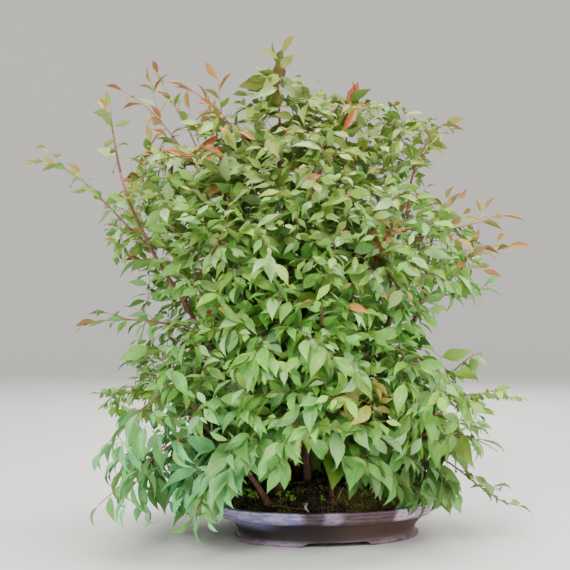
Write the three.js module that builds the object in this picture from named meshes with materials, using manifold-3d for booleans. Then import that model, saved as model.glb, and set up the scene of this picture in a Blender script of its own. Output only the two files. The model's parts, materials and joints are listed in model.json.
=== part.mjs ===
// A tall stewartia bonsai: a clump of eleven slim stems with drooping leafy
// sprays, planted in a shallow oval clay pot. Millimetres, +Z up, and the origin
// is at the middle of the floor that the pot stands on.

import * as THREE from 'three';
import { mergeVertices } from 'three/addons/utils/BufferGeometryUtils.js';
import Module from 'manifold-3d';

const wasm = await Module();
wasm.setup();

// Driving dimensions: the pot
const POT_HALF_WIDTH = 156;
const POT_HALF_DEPTH = 92;
const POT_HEIGHT = 48;
const POT_WALL = 9;
const POT_FLOOR_TOP = 14;
const POT_LIP = 12;
const POT_SEGMENTS = 28;
const FOOT_HEIGHT = 6;
const ARCH_HALF_WIDTH = 46;
const DRAIN_RADIUS = 8;
const DRAIN_OFFSET = 66;
const FIT_GAP = 0.35;
const SHORTEST_EDGE = 0.03;

// Driving dimensions: the soil and what lies in it
const SOIL_EDGE_HEIGHT = 45;
const SOIL_CREST_HEIGHT = 76;
const SOIL_CROWNING = 1.2;
const SOIL_INSET = 2.2;
const SOIL_SEGMENTS = 18;
const STEM_ROOT_HEIGHT = 40;
const MESH_SIZE = 30;
const MESH_THICKNESS = 1.6;

// Driving dimensions: wood. Shares are of a limb's span or of a shoot's length.
const STEM_TAPER = 0.62;
const STEM_FLARE = 0.3;
const FLARE_FADES = 22;
const STEM_STARTS_OUT = 0.3;
const STEM_STARTS_UP = 0.42;
const STEM_STARTS_BACK = 0.1;
const STEM_ENDS_IN = 0.14;
const STEM_ENDS_UP = 0.7;
const BOUGH_RADIUS_RATIO = 0.62;
const BOUGH_RADIUS_MOST = 2.4;
const LIMB_TAPER = 0.6;
const LIMB_LEAVES_OUT = 0.28;
const LIMB_LEAVES_UP = 0.22;
const LIMB_ARRIVES = 0.34;
const LEADER_LEAVES = 0.35;
const LEADER_ARRIVES = 0.4;
const LEADER_ARCH = 0.08;
const TWIGS_PER_SHOOT = 2;
const FIRST_TWIG = 0.22;
const TWIG_SPACING = 0.34;
const TWIG_FORWARD = 0.6;
const TWIG_ASIDE = 0.8;
const TWIG_UP = 0.25;
const TWIG_HANG = 0.4;
const TWIG_RADIUS_RATIO = 0.62;
const FORK = 0.3;
const JOINT_GAP = 0.35;
const WOOD_CLEARANCE = 2.4;
const SAMPLE_SPACING = 4;
const RING_SPACING = 66;
const SHOOT_RINGS = 3;
const BOUGH_RINGS = 2;
const STEM_SIDES = 5;
const BOUGH_SIDES = 4;
const SHOOT_SIDES = 4;
const TWIG_SIDES = 3;
const BOUGH_FREE_FROM = 0.16;
const TWIG_FREE_FROM = 0.12;

// Driving dimensions: the crown
const CROWN_CENTRE = new THREE.Vector3(-26, 4, 0);
const CROWN_DEPTH_RATIO = 0.88;
const CROWN_HALF_WIDTHS = [[60, 250], [190, 292], [300, 250], [400, 262], [500, 218], [620, 95]];
const FILL_LIMBS = 18;
const FILL_LOWEST = 110;
const FILL_HIGHEST = 560;
const FRONT_AND_BACK = 0.3;
const LOWEST_LEAVE = 100;
const FRONT_SHIFT = 0.167;
const BELOW_TOP = 12;
const GOLDEN_ANGLE = Math.PI * (3 - Math.sqrt(5));
const SEED = 2024;

// Driving dimensions: the blades
const BLADES_PER_SHOOT = 6;
const FIRST_BLADE = 0.2;
const BLADE_SPACING = 0.13;
const END_BLADE = 0.95;
const TWIG_BLADES = [0.36, 0.66];
const TWIG_END_BLADE = 0.9;
const SIDE_BLADE_FORWARD = 0.5;
const END_BLADE_FORWARD = 2;
const BLADE_STRAYS = 0.03;
const BLADE_TURNS = 0.5;
const BLADE_THICKNESS = 1.2;
const BLADE_ROOT_DEPTH = 0.9;
const PROBE_THICKNESS = 2.4;
const PROBE_ROOT = 4;
const BLADE_WIDTH_RATIO = 0.42;
const BLADE_WIDEST = 0.42;
const BLADE_FOLD = 0.4;
const BLADE_DROOP = 0.16;

// The habit of each kind of shoot: blade lengths, how far the blades hang, how
// steeply the shoot ends, and its colour.
const HABITS = {
  top: { blade: [25, 32], hang: 0.05, pitch: 0.75, rise: 95, color: 0x7d9a3f },
  mid: { blade: [32, 42], hang: -0.55, pitch: -0.05, rise: 40, color: 0x4f8a36 },
  low: { blade: [40, 50], hang: -0.85, pitch: -0.75, rise: -45, color: 0x5a9068 },
  fine: { blade: [14, 20], hang: -0.1, pitch: -0.1, rise: 20, color: 0x9bbb3e },
  young: { blade: [22, 30], hang: 0.35, pitch: 0.45, rise: 60, color: 0xa8653f },
};

// Each stem: where it stands, where its wood ends, where its leading shoot ends,
// its radius at the soil, and the habit of that leading shoot.
const STEMS = [
  { foot: [-24, 12], top: [-66, 4, 560], tip: [-72, 0, 668], radius: 5.8, habit: 'top' },
  { foot: [-62, -14], top: [-287, -26, 500], tip: [-302, -20, 582], radius: 4.6, habit: 'top' },
  { foot: [-44, 34], top: [-142, 42, 500], tip: [-158, 36, 592], radius: 5, habit: 'top' },
  { foot: [17, 4], top: [30, 14, 520], tip: [34, 22, 600], radius: 5.4, habit: 'young' },
  { foot: [42, -22], top: [110, -34, 480], tip: [163, -26, 578], radius: 5, habit: 'top' },
  { foot: [66, 18], top: [158, 30, 400], tip: [196, 26, 474], radius: 4.4, habit: 'young' },
  { foot: [86, -12], top: [152, -46, 200], tip: [202, -70, 258], radius: 3.6, habit: 'mid' },
  { foot: [-84, -34], top: [-196, -72, 196], tip: [-312, -92, 138], radius: 4.2, habit: 'low' },
  { foot: [0, -38], top: [-30, -104, 270], tip: [-40, -168, 330], radius: 4, habit: 'mid' },
  { foot: [-30, 52], top: [-78, 112, 420], tip: [-92, 158, 510], radius: 4.4, habit: 'top' },
  { foot: [46, 48], top: [84, 122, 360], tip: [102, 172, 440], radius: 4.4, habit: 'top' },
];

// Limbs that stand out at the crown's edge: the stem, the height where they
// leave it, the tip, and the habit.
const EDGE_LIMBS = [
  { stem: 1, height: 400, tip: [-412, -12, 516], habit: 'fine' },
  { stem: 2, height: 470, tip: [-282, 18, 616], habit: 'young' },
  { stem: 2, height: 490, tip: [-236, 74, 628], habit: 'young' },
  { stem: 0, height: 490, tip: [-196, -38, 612], habit: 'young' },
  { stem: 5, height: 372, tip: [256, -18, 404], habit: 'young' },
  { stem: 4, height: 400, tip: [228, -64, 446], habit: 'young' },
  { stem: 5, height: 320, tip: [252, 52, 352], habit: 'top' },
  { stem: 6, height: 178, tip: [278, -26, 190], habit: 'fine' },
  { stem: 6, height: 130, tip: [222, -78, 122], habit: 'low' },
  { stem: 6, height: 108, tip: [262, -46, 42], habit: 'fine' },
  { stem: 1, height: 270, tip: [-330, 4, 300], habit: 'fine' },
  { stem: 7, height: 178, tip: [-318, -30, 206], habit: 'mid' },
  { stem: 7, height: 140, tip: [-316, -104, 72], habit: 'low' },
  { stem: 7, height: 122, tip: [-196, -132, 62], habit: 'low' },
];

// How low the leaves hang at each place from left to right: high over the pot, so
// that the stems show there
const LOWEST_LEAVES = [
  [-420, 45], [-200, 32], [-164, 34], [-150, 76], [-128, 88], [-112, 116], [70, 120],
  [92, 98], [130, 82], [200, 78], [240, 52], [300, 40],
];

const BARK = new THREE.MeshStandardMaterial({ color: 0x6b4636, roughness: 0.75, metalness: 0 });
const CLAY = new THREE.MeshStandardMaterial({ color: 0x7a5f5e, roughness: 0.55, metalness: 0 });
const EARTH = new THREE.MeshStandardMaterial({ color: 0x2b211a, roughness: 0.95, metalness: 0 });
const PLASTIC = new THREE.MeshStandardMaterial({ color: 0x2c3230, roughness: 0.5, metalness: 0 });

// Solids

function solidOf(geometry) {
  const bare = geometry.clone();
  bare.deleteAttribute('normal');
  bare.deleteAttribute('uv');
  const merged = mergeVertices(bare, 1e-4);
  const mesh = new wasm.Mesh({
    numProp: 3,
    vertProperties: new Float32Array(merged.attributes.position.array),
    triVerts: new Uint32Array(merged.index.array),
  });
  mesh.merge();
  return new wasm.Manifold(mesh);
}

// Edges that are too short to matter are closed up, and a loose sliver is dropped.
function geometryOf(solid) {
  const bodies = solid.simplify(SHORTEST_EDGE).decompose();
  const largest = bodies.reduce((a, b) => (a.volume() > b.volume() ? a : b));
  const mesh = largest.getMesh();
  const geometry = new THREE.BufferGeometry();
  geometry.setAttribute('position', new THREE.BufferAttribute(mesh.vertProperties, 3));
  geometry.setIndex(new THREE.BufferAttribute(mesh.triVerts, 1));
  geometry.computeVertexNormals();
  return geometry;
}

function namedMesh(name, geometry, material) {
  const mesh = new THREE.Mesh(geometry, material.clone());
  mesh.name = name;
  return mesh;
}

function joined(solids) {
  return solids.reduce((whole, solid) => whole.add(solid));
}

// Chance: one small generator, so that the plant always grows the same way

function makeDraw(seed) {
  let state = seed;
  const next = () => {
    state = (state * 16807) % 2147483647;
    return (state - 1) / 2147483646;
  };
  return (low, high) => low + (high - low) * next();
}

// Curves

function vector(values) {
  return new THREE.Vector3(values[0], values[1], values[2]);
}

// The value of a table of pairs at a place between them, or on past its ends
function readTable(table, place) {
  const last = table.length - 1;
  let i = 0;
  while (i < last - 1 && place > table[i + 1][0]) {
    i += 1;
  }
  const [from, low] = table[i];
  const [to, high] = table[i + 1];
  return low + (high - low) * (place - from) / (to - from);
}

function lowestLeaf(point) {
  return readTable(LOWEST_LEAVES, point.x - FRONT_SHIFT * Math.min(point.y, 0));
}

function stemCurve(stem) {
  const foot = new THREE.Vector3(stem.foot[0], stem.foot[1], STEM_ROOT_HEIGHT);
  const top = vector(stem.top);
  const rise = top.z - foot.z;
  const lower = foot.clone().lerp(top, STEM_STARTS_OUT).setZ(foot.z + STEM_STARTS_UP * rise);
  lower.x += STEM_STARTS_BACK * (foot.x - top.x);
  const upper = top.clone().lerp(foot, STEM_ENDS_IN).setZ(foot.z + STEM_ENDS_UP * rise);
  return new THREE.CubicBezierCurve3(foot, lower, upper, top);
}

function shareAtHeight(curve, height) {
  let low = 0;
  let high = 1;
  for (let step = 0; step < 30; step += 1) {
    const middle = (low + high) / 2;
    if (curve.getPoint(middle).z < height) {
      low = middle;
    } else {
      high = middle;
    }
  }
  return (low + high) / 2;
}

// A limb leaves its stem upward and outward, arches, and ends at the pitch of
// its habit. The bow moves its middle sideways, to pass other wood.
function limbCurve(start, tip, pitch, bow) {
  const span = start.distanceTo(tip);
  const outward = new THREE.Vector3(tip.x - start.x, tip.y - start.y, 0).normalize();
  const aside = new THREE.Vector3(-outward.y, outward.x, 0);
  const arrival = outward.clone().addScaledVector(new THREE.Vector3(0, 0, 1), pitch).normalize();
  const first = start.clone().addScaledVector(outward, LIMB_LEAVES_OUT * span);
  first.z += LIMB_LEAVES_UP * span;
  const second = tip.clone().addScaledVector(arrival, -LIMB_ARRIVES * span);
  for (const point of [first, second]) {
    point.addScaledVector(aside, bow[0]);
    point.z += bow[1];
  }
  return new THREE.CubicBezierCurve3(start, first, second, tip);
}

// Each length of wood is a curve with a radius along it, from one share of the
// curve to another. It is straight between its rings, so what stands on it takes
// its place from the straight stretch.
function pointOnWood({ curve, from, to, rings }, share) {
  const step = (to - from) / rings;
  const ring = Math.min(Math.floor((share - from) / step), rings - 1);
  const start = from + ring * step;
  const part = (share - start) / step;
  return curve.getPoint(start).lerp(curve.getPoint(start + step), part);
}

// Wood as a row of points with radii, to keep stems, boughs and twigs clear of
// each other.

function samples(wood, from) {
  const count = Math.ceil(wood.curve.getLength() * (wood.to - from) / SAMPLE_SPACING);
  const row = [];
  for (let i = 0; i <= count; i += 1) {
    const share = from + (wood.to - from) * i / count;
    row.push({ at: pointOnWood(wood, share), radius: wood.radiusAt(share) });
  }
  return row;
}

function isClear(row, others) {
  for (const a of row) {
    for (const b of others) {
      const reach = a.radius + b.radius + WOOD_CLEARANCE;
      if (a.at.distanceToSquared(b.at) < reach * reach) {
        return false;
      }
    }
  }
  return true;
}

function bows() {
  const list = [[0, 0]];
  for (const size of [14, 26, 40, 56, 74]) {
    list.push([size, 0], [-size, 0], [0.7 * size, 0.6 * size], [-0.7 * size, 0.6 * size], [0, size]);
  }
  return list;
}

const BOWS = bows();

function shootWood(curve, from, radiusAt) {
  return { curve, from, to: 1, rings: SHOOT_RINGS, sides: SHOOT_SIDES, radiusAt, pointed: true };
}

// The plan of the whole plant: curves and radii, before any solid is made

function stemRadius(stem, share) {
  return stem.radius * (1 - STEM_TAPER * share + STEM_FLARE * Math.exp(-share * FLARE_FADES));
}

function planStems() {
  return STEMS.map((stem) => {
    const curve = stemCurve(stem);
    const radiusAt = (share) => stemRadius(stem, share);
    const rings = Math.round((stem.top[2] - STEM_ROOT_HEIGHT) / RING_SPACING);
    const wood = { curve, from: 0, to: 1, rings, sides: STEM_SIDES, radiusAt };
    return { ...stem, ...wood, row: samples(wood, 0), boughs: [] };
  });
}

function fillLimbs(stems, draw) {
  const limbs = [];
  for (let i = 0; i < FILL_LIMBS; i += 1) {
    const height = FILL_LOWEST + (FILL_HIGHEST - FILL_LOWEST) * (i + 0.5) / FILL_LIMBS;
    const around = i * GOLDEN_ANGLE + draw(-0.2, 0.2);
    const angle = around + FRONT_AND_BACK * Math.sin(2 * around);
    const reach = readTable(CROWN_HALF_WIDTHS, height) * draw(0.74, 0.86);
    const tip = new THREE.Vector3(
      CROWN_CENTRE.x + reach * Math.cos(angle),
      CROWN_CENTRE.y + CROWN_DEPTH_RATIO * reach * Math.sin(angle),
      height,
    );
    const habit = height > 400 ? 'top' : height > 150 ? 'mid' : 'low';
    const leave = Math.max(height - HABITS[habit].rise, LOWEST_LEAVE);
    const gaps = stems.map(({ curve, top }) => (leave < top[2] - BELOW_TOP
      ? curve.getPoint(shareAtHeight(curve, leave)).distanceTo(tip)
      : Infinity));
    const nearest = gaps.indexOf(Math.min(...gaps));
    limbs.push({ stem: nearest, height: leave, tip: tip.toArray(), habit });
  }
  return limbs;
}

// Each limb is a bough up to its fork, in the stem's wood, and a green shoot
// from there to its tip.
function planShoots(stems, draw) {
  const rows = stems.map((stem) => stem.row);
  const shoots = [];
  for (const stem of stems) {
    const tip = vector(stem.tip);
    const heading = stem.curve.getTangent(1);
    const span = tip.distanceTo(stem.curve.getPoint(1));
    const start = stem.curve.getPoint(1).addScaledVector(heading, JOINT_GAP);
    const first = start.clone().addScaledVector(heading, LEADER_LEAVES * span);
    const second = tip.clone().lerp(first, LEADER_ARRIVES);
    second.z += LEADER_ARCH * span;
    const curve = new THREE.CubicBezierCurve3(start, first, second, tip);
    const thick = stem.radiusAt(1);
    const radiusAt = (share) => thick * (1 - LIMB_TAPER * share);
    const shoot = shootWood(curve, 0, radiusAt);
    const row = samples(shoot, 0);
    shoots.push({ ...shoot, habit: stem.habit, row });
    rows.push(row);
  }
  for (const limb of [...EDGE_LIMBS, ...fillLimbs(stems, draw)]) {
    const stem = stems[limb.stem];
    const habit = HABITS[limb.habit];
    const leave = shareAtHeight(stem.curve, limb.height);
    const start = pointOnWood(stem, leave);
    const thick = Math.min(BOUGH_RADIUS_RATIO * stem.radiusAt(leave), BOUGH_RADIUS_MOST);
    const radiusAt = (share) => thick * (1 - LIMB_TAPER * share);
    let chosen = null;
    for (const bow of BOWS) {
      const curve = limbCurve(start, vector(limb.tip), habit.pitch, bow);
      const bough = { curve, from: 0, to: FORK, rings: BOUGH_RINGS, sides: BOUGH_SIDES, radiusAt };
      const shoot = shootWood(curve, FORK + JOINT_GAP / curve.getLength(), radiusAt);
      const outer = samples(shoot, shoot.from);
      const row = [...samples(bough, BOUGH_FREE_FROM), ...outer];
      const others = rows.filter((other) => other !== stem.row);
      if (others.every((other) => isClear(row, other)) && isClear(outer, stem.row)) {
        chosen = { bough, shoot, row };
        break;
      }
    }
    if (chosen !== null) {
      stem.boughs.push(chosen.bough);
      shoots.push({ ...chosen.shoot, habit: limb.habit, row: chosen.row });
      rows.push(chosen.row);
    }
  }
  return { shoots, rows };
}

// Side twigs stand alternately left and right on the outer part of a shoot.
function planTwigs(shoots, rows, draw) {
  const up = new THREE.Vector3(0, 0, 1);
  for (const shoot of shoots) {
    shoot.twigs = [];
    const length = shoot.curve.getPoint(shoot.from).distanceTo(shoot.curve.getPoint(1));
    const hang = HABITS[shoot.habit].hang;
    for (let i = 0; i < TWIGS_PER_SHOOT; i += 1) {
      const along = FIRST_TWIG + TWIG_SPACING * i + draw(-0.04, 0.04);
      const share = shoot.from + (1 - shoot.from) * along;
      const start = pointOnWood(shoot, share);
      const heading = shoot.curve.getTangent(share);
      const side = sideOf(heading).multiplyScalar(i % 2 === 0 ? 1 : -1);
      const reach = length * draw(0.4, 0.5);
      for (const lift of [0, 0.5, -0.5, 1]) {
        const aim = heading.clone().multiplyScalar(TWIG_FORWARD);
        aim.addScaledVector(side, TWIG_ASIDE).addScaledVector(up, TWIG_UP + lift).normalize();
        const tip = start.clone().addScaledVector(aim, reach);
        tip.z += reach * TWIG_HANG * hang;
        const first = start.clone().addScaledVector(aim, 0.35 * reach);
        const second = start.clone().addScaledVector(aim, 0.72 * reach);
        const curve = new THREE.CubicBezierCurve3(start, first, second, tip);
        const thick = TWIG_RADIUS_RATIO * shoot.radiusAt(share);
        const radiusAt = (part) => thick * (1 - part);
        const twig = { curve, from: 0, to: 1, rings: 1, sides: TWIG_SIDES, radiusAt, pointed: true };
        const row = samples(twig, TWIG_FREE_FROM);
        if (rows.every((other) => other === shoot.row || isClear(row, other))) {
          shoot.twigs.push(twig);
          rows.push(row);
          break;
        }
      }
    }
  }
}

function sideOf(heading) {
  const level = Math.abs(heading.z) < 0.97;
  const reference = level ? new THREE.Vector3(0, 0, 1) : new THREE.Vector3(1, 0, 0);
  return new THREE.Vector3().crossVectors(heading, reference).normalize();
}

// Wood: a cylinder bent along its curve and tapered, or drawn out to a point

function woodGeometry({ curve, from, to, rings, sides, radiusAt, pointed = false }) {
  const geometry = new THREE.CylinderGeometry(pointed ? 0 : 1, 1, 1, sides, rings);
  const position = geometry.attributes.position;
  const frames = [];
  let across = sideOf(curve.getTangent(from));
  for (let i = 0; i <= rings; i += 1) {
    const share = from + (to - from) * i / rings;
    const heading = curve.getTangent(share);
    across = across.clone().addScaledVector(heading, -across.dot(heading)).normalize();
    const rest = new THREE.Vector3().crossVectors(heading, across);
    frames.push({ at: curve.getPoint(share), across, rest, radius: radiusAt(share) });
  }
  for (let i = 0; i < position.count; i += 1) {
    const ring = frames[Math.round((position.getY(i) + 0.5) * rings)];
    const point = ring.at.clone();
    point.addScaledVector(ring.across, position.getZ(i) * ring.radius);
    point.addScaledVector(ring.rest, position.getX(i) * ring.radius);
    position.setXYZ(i, point.x, point.y, point.z);
  }
  return geometry;
}

// Leaves: a blade drawn out to a point at both ends. It is folded up from its
// midrib, which is a crease above and a keel below, and its root is sunk in the twig.

const BLADE_FACES = [0, 1, 2, 0, 3, 1, 0, 2, 4, 2, 1, 4, 1, 3, 4, 3, 0, 4];

function bladeGeometry(length, thickness) {
  const half = 0.5 * BLADE_WIDTH_RATIO * length;
  const middle = BLADE_WIDEST * length;
  const droop = BLADE_DROOP * length;
  const crease = -droop * BLADE_WIDEST;
  const edge = crease + BLADE_FOLD * half;
  const corners = [
    [0, 0, 0],
    [length, 0, -droop],
    [middle, half, edge],
    [middle, -half, edge],
    [middle, 0, crease - thickness],
  ];
  const geometry = new THREE.BufferGeometry();
  geometry.setAttribute('position', new THREE.Float32BufferAttribute(corners.flat(), 3));
  geometry.setIndex(BLADE_FACES);
  return geometry;
}

function placedBlade(leaf, thickness) {
  const out = leaf.aim.clone().normalize();
  const across = new THREE.Vector3().crossVectors(new THREE.Vector3(0, 0, 1), out).normalize();
  const face = new THREE.Vector3().crossVectors(out, across);
  const turn = new THREE.Matrix4().makeBasis(out, across, face);
  const roll = new THREE.Matrix4().makeRotationX(leaf.roll);
  const matrix = new THREE.Matrix4().makeTranslation(leaf.at).multiply(turn).multiply(roll);
  return bladeGeometry(leaf.length, thickness).applyMatrix4(matrix);
}

// Where the leaves of one shoot stand: alternate along it and its twigs, with
// one at each tip
function planLeaves(shoot, draw) {
  const habit = HABITS[shoot.habit];
  const leaves = [];
  const stray = () => draw(-BLADE_TURNS, BLADE_TURNS);
  const add = (wood, share, angle, forward) => {
    const heading = wood.curve.getTangent(share);
    const side = sideOf(heading);
    const rest = new THREE.Vector3().crossVectors(side, heading);
    const aim = heading.clone().multiplyScalar(forward);
    aim.addScaledVector(side, Math.cos(angle)).addScaledVector(rest, Math.sin(angle));
    aim.z += habit.hang;
    const length = draw(habit.blade[0], habit.blade[1]);
    const sunk = Math.max(0.7 * wood.radiusAt(share) - BLADE_ROOT_DEPTH, 0);
    const at = pointOnWood(wood, share).addScaledVector(aim.clone().normalize(), sunk);
    const roll = stray();
    const tip = at.clone().addScaledVector(aim.clone().normalize(), length);
    if (tip.z > lowestLeaf(tip)) {
      leaves.push({ at, aim, length, roll, heading });
    }
  };
  const lean = draw(0, BLADE_TURNS);
  for (let i = 0; i < BLADES_PER_SHOOT; i += 1) {
    const along = FIRST_BLADE + BLADE_SPACING * i + draw(-BLADE_STRAYS, BLADE_STRAYS);
    const share = shoot.from + (1 - shoot.from) * along;
    const angle = (i % 2) * Math.PI + lean * (i - BLADES_PER_SHOOT / 2);
    add(shoot, share, angle, SIDE_BLADE_FORWARD);
  }
  add(shoot, END_BLADE, Math.PI / 2, END_BLADE_FORWARD);
  for (const twig of shoot.twigs) {
    TWIG_BLADES.forEach((place, i) => {
      add(twig, place + 2 * draw(-BLADE_STRAYS, BLADE_STRAYS), i * Math.PI + stray(), SIDE_BLADE_FORWARD);
    });
    add(twig, TWIG_END_BLADE, Math.PI + stray(), END_BLADE_FORWARD);
  }
  return leaves;
}

function crosses(probe, obstacles) {
  const box = probe.boundingBox();
  return obstacles.some((other) => {
    const apart = [0, 1, 2].some(
      (k) => box.min[k] > other.box.max[k] || box.max[k] < other.box.min[k],
    );
    return !apart && probe.intersect(other.solid).volume() > 1e-6;
  });
}

// A leaf that would cross anything else is turned about its twig, and left out
// if no turn clears it. Past its root it also keeps off the wood that it grows on.
function clearBlade(leaf, obstacles, ownWood) {
  for (const turn of [0, 0.5, -0.5, 1, -1, 1.5, -1.5]) {
    const aim = leaf.aim.clone().applyAxisAngle(leaf.heading, turn);
    const wide = { ...leaf, aim, length: 1.04 * leaf.length };
    const past = leaf.at.clone().addScaledVector(aim.clone().normalize(), PROBE_ROOT);
    const whole = solidOf(placedBlade(wide, PROBE_THICKNESS));
    const outer = solidOf(placedBlade({ ...wide, at: past }, PROBE_THICKNESS));
    if (!crosses(whole, obstacles) && !crosses(outer, [ownWood])) {
      return solidOf(placedBlade({ ...leaf, aim }, BLADE_THICKNESS));
    }
  }
  return null;
}

// The pot: one turned oval with a wide grooved rim, a waist and a footring that
// is cut into four feet by arches, and two drain holes

function ovalLathe(profile, segments, halfWidth, halfDepth) {
  const points = profile.map(([radius, height]) => new THREE.Vector2(radius, height));
  const geometry = new THREE.LatheGeometry(points, segments);
  geometry.rotateX(Math.PI / 2);
  geometry.scale(1, halfDepth / halfWidth, 1);
  return geometry;
}

function potSolid() {
  const rim = POT_HALF_WIDTH;
  const profile = [
    [0, FOOT_HEIGHT],
    [rim - 46, FOOT_HEIGHT],
    [rim - 44, 0],
    [rim - 27, 0],
    [rim - 26, 5],
    [rim - 31, 9],
    [rim - 30, 15],
    [rim - 20, 26],
    [rim - 9, 31],
    [rim - 2, 40],
    [rim, POT_HEIGHT],
    [rim - POT_LIP, POT_HEIGHT],
    [rim - POT_LIP - 1, POT_HEIGHT - 8],
    [rim - 20 - POT_WALL, 25],
    [rim - 40, POT_FLOOR_TOP],
    [0, POT_FLOOR_TOP],
  ];
  let solid = solidOf(ovalLathe(profile, POT_SEGMENTS, POT_HALF_WIDTH, POT_HALF_DEPTH));
  const deep = 4 * POT_HALF_DEPTH;
  const wide = 4 * POT_HALF_WIDTH;
  const archLong = new THREE.BoxGeometry(2 * ARCH_HALF_WIDTH, deep, 2 * FOOT_HEIGHT - 1);
  const archShort = new THREE.BoxGeometry(wide, 0.8 * ARCH_HALF_WIDTH, 2 * FOOT_HEIGHT - 1);
  solid = solid.subtract(solidOf(archLong)).subtract(solidOf(archShort));
  for (const x of [-DRAIN_OFFSET, DRAIN_OFFSET]) {
    const hole = new THREE.CylinderGeometry(DRAIN_RADIUS, DRAIN_RADIUS, 40, 12);
    hole.rotateX(Math.PI / 2);
    hole.translate(x, 0, 10);
    solid = solid.subtract(solidOf(hole));
  }
  return solid;
}

function soilSolid(stems) {
  const inner = POT_HALF_WIDTH - POT_LIP - SOIL_INSET;
  const crown = (share) => SOIL_EDGE_HEIGHT
    + (SOIL_CREST_HEIGHT - SOIL_EDGE_HEIGHT) * Math.cos(share * Math.PI / 2) ** SOIL_CROWNING;
  const profile = [
    [0, POT_FLOOR_TOP + FIT_GAP],
    [POT_HALF_WIDTH - 43, POT_FLOOR_TOP + FIT_GAP],
    [POT_HALF_WIDTH - 20 - POT_WALL - SOIL_INSET, 26],
    [inner - 1, POT_HEIGHT - 8],
    [inner - 0.4, SOIL_EDGE_HEIGHT - 1],
  ];
  for (const share of [0.9, 0.66, 0.36]) {
    profile.push([inner * share, crown(share)]);
  }
  profile.push([0, crown(0)]);
  let solid = solidOf(ovalLathe(profile, SOIL_SEGMENTS, POT_HALF_WIDTH, POT_HALF_DEPTH));
  for (const stem of stems) {
    const hole = { ...stem, radiusAt: (share) => stem.radiusAt(share) + FIT_GAP };
    solid = solid.subtract(solidOf(woodGeometry(hole)));
  }
  for (const x of [-DRAIN_OFFSET, DRAIN_OFFSET]) {
    const size = MESH_SIZE + 2 * FIT_GAP;
    const pocket = new THREE.BoxGeometry(size, size, 2 * (MESH_THICKNESS + FIT_GAP));
    pocket.translate(x, 0, POT_FLOOR_TOP + FIT_GAP);
    solid = solid.subtract(solidOf(pocket));
  }
  return solid;
}

// A square of stiff mesh over each drain hole

function drainMesh() {
  let plate = solidOf(new THREE.BoxGeometry(MESH_SIZE, MESH_SIZE, MESH_THICKNESS));
  const pitch = MESH_SIZE / 3;
  for (const x of [-pitch, 0, pitch]) {
    const slot = new THREE.BoxGeometry(0.4 * pitch, 2.4 * pitch, 2 * MESH_THICKNESS);
    slot.translate(x, 0, 0);
    plate = plate.subtract(solidOf(slot));
  }
  return geometryOf(plate);
}

// A stem with its boughs, grown as one

function stemSolid(stem) {
  return joined([stem, ...stem.boughs].map((wood) => solidOf(woodGeometry(wood))));
}

function sprayWood(shoot) {
  return joined([shoot, ...shoot.twigs].map((wood) => solidOf(woodGeometry(wood))));
}

function withBox(solid) {
  return { solid, box: solid.boundingBox() };
}

const twoDigits = (number) => String(number).padStart(2, '0');

// Planting it all together

const draw = makeDraw(SEED);
const stems = planStems();
const { shoots, rows } = planShoots(stems, draw);
planTwigs(shoots, rows, draw);

const pot = potSolid();
const soil = soilSolid(stems);
const stemSolids = stems.map(stemSolid);
const woods = shoots.map(sprayWood);
const fixed = [pot, soil, ...stemSolids].map(withBox);
const woodBoxes = woods.map(withBox);
const blades = [];

const group = new THREE.Group();
group.add(namedMesh('pot', geometryOf(pot), CLAY));
group.add(namedMesh('soil', geometryOf(soil), EARTH));
['left', 'right'].forEach((side, i) => {
  const mesh = namedMesh(`drain_mesh_${side}`, drainMesh(), PLASTIC);
  mesh.position.set((2 * i - 1) * DRAIN_OFFSET, 0, POT_FLOOR_TOP + FIT_GAP + MESH_THICKNESS / 2);
  group.add(mesh);
});
stemSolids.forEach((solid, i) => {
  group.add(namedMesh(`stem_${twoDigits(i + 1)}`, geometryOf(solid), BARK));
});

shoots.forEach((shoot, i) => {
  const others = [...fixed, ...woodBoxes.filter((_, k) => k !== i)];
  let spray = woods[i];
  for (const leaf of planLeaves(shoot, draw)) {
    const blade = clearBlade(leaf, [...others, ...blades], woodBoxes[i]);
    if (blade !== null) {
      spray = spray.add(blade);
      blades.push(withBox(blade));
    }
  }
  const { color } = HABITS[shoot.habit];
  const green = new THREE.MeshStandardMaterial({ color, roughness: 0.5, metalness: 0 });
  group.add(namedMesh(`spray_${twoDigits(i + 1)}`, geometryOf(spray), green));
});

// The finished plant is moved so that the origin lies under the middle of its
// outer box.
const bounds = new THREE.Box3().setFromObject(group);
const middle = bounds.getCenter(new THREE.Vector3());
for (const mesh of group.children) {
  mesh.position.x -= middle.x;
  mesh.position.y -= middle.y;
  mesh.position.z -= bounds.min.z;
}

export default group;
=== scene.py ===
"""A stewartia clump in a shallow oval pot: its wood, leaves, soil, pot and studio."""

import functools
import json
import math
from dataclasses import dataclass, field

import bmesh
import bpy
import numpy as np
from mathutils import Matrix, Vector, noise

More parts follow.
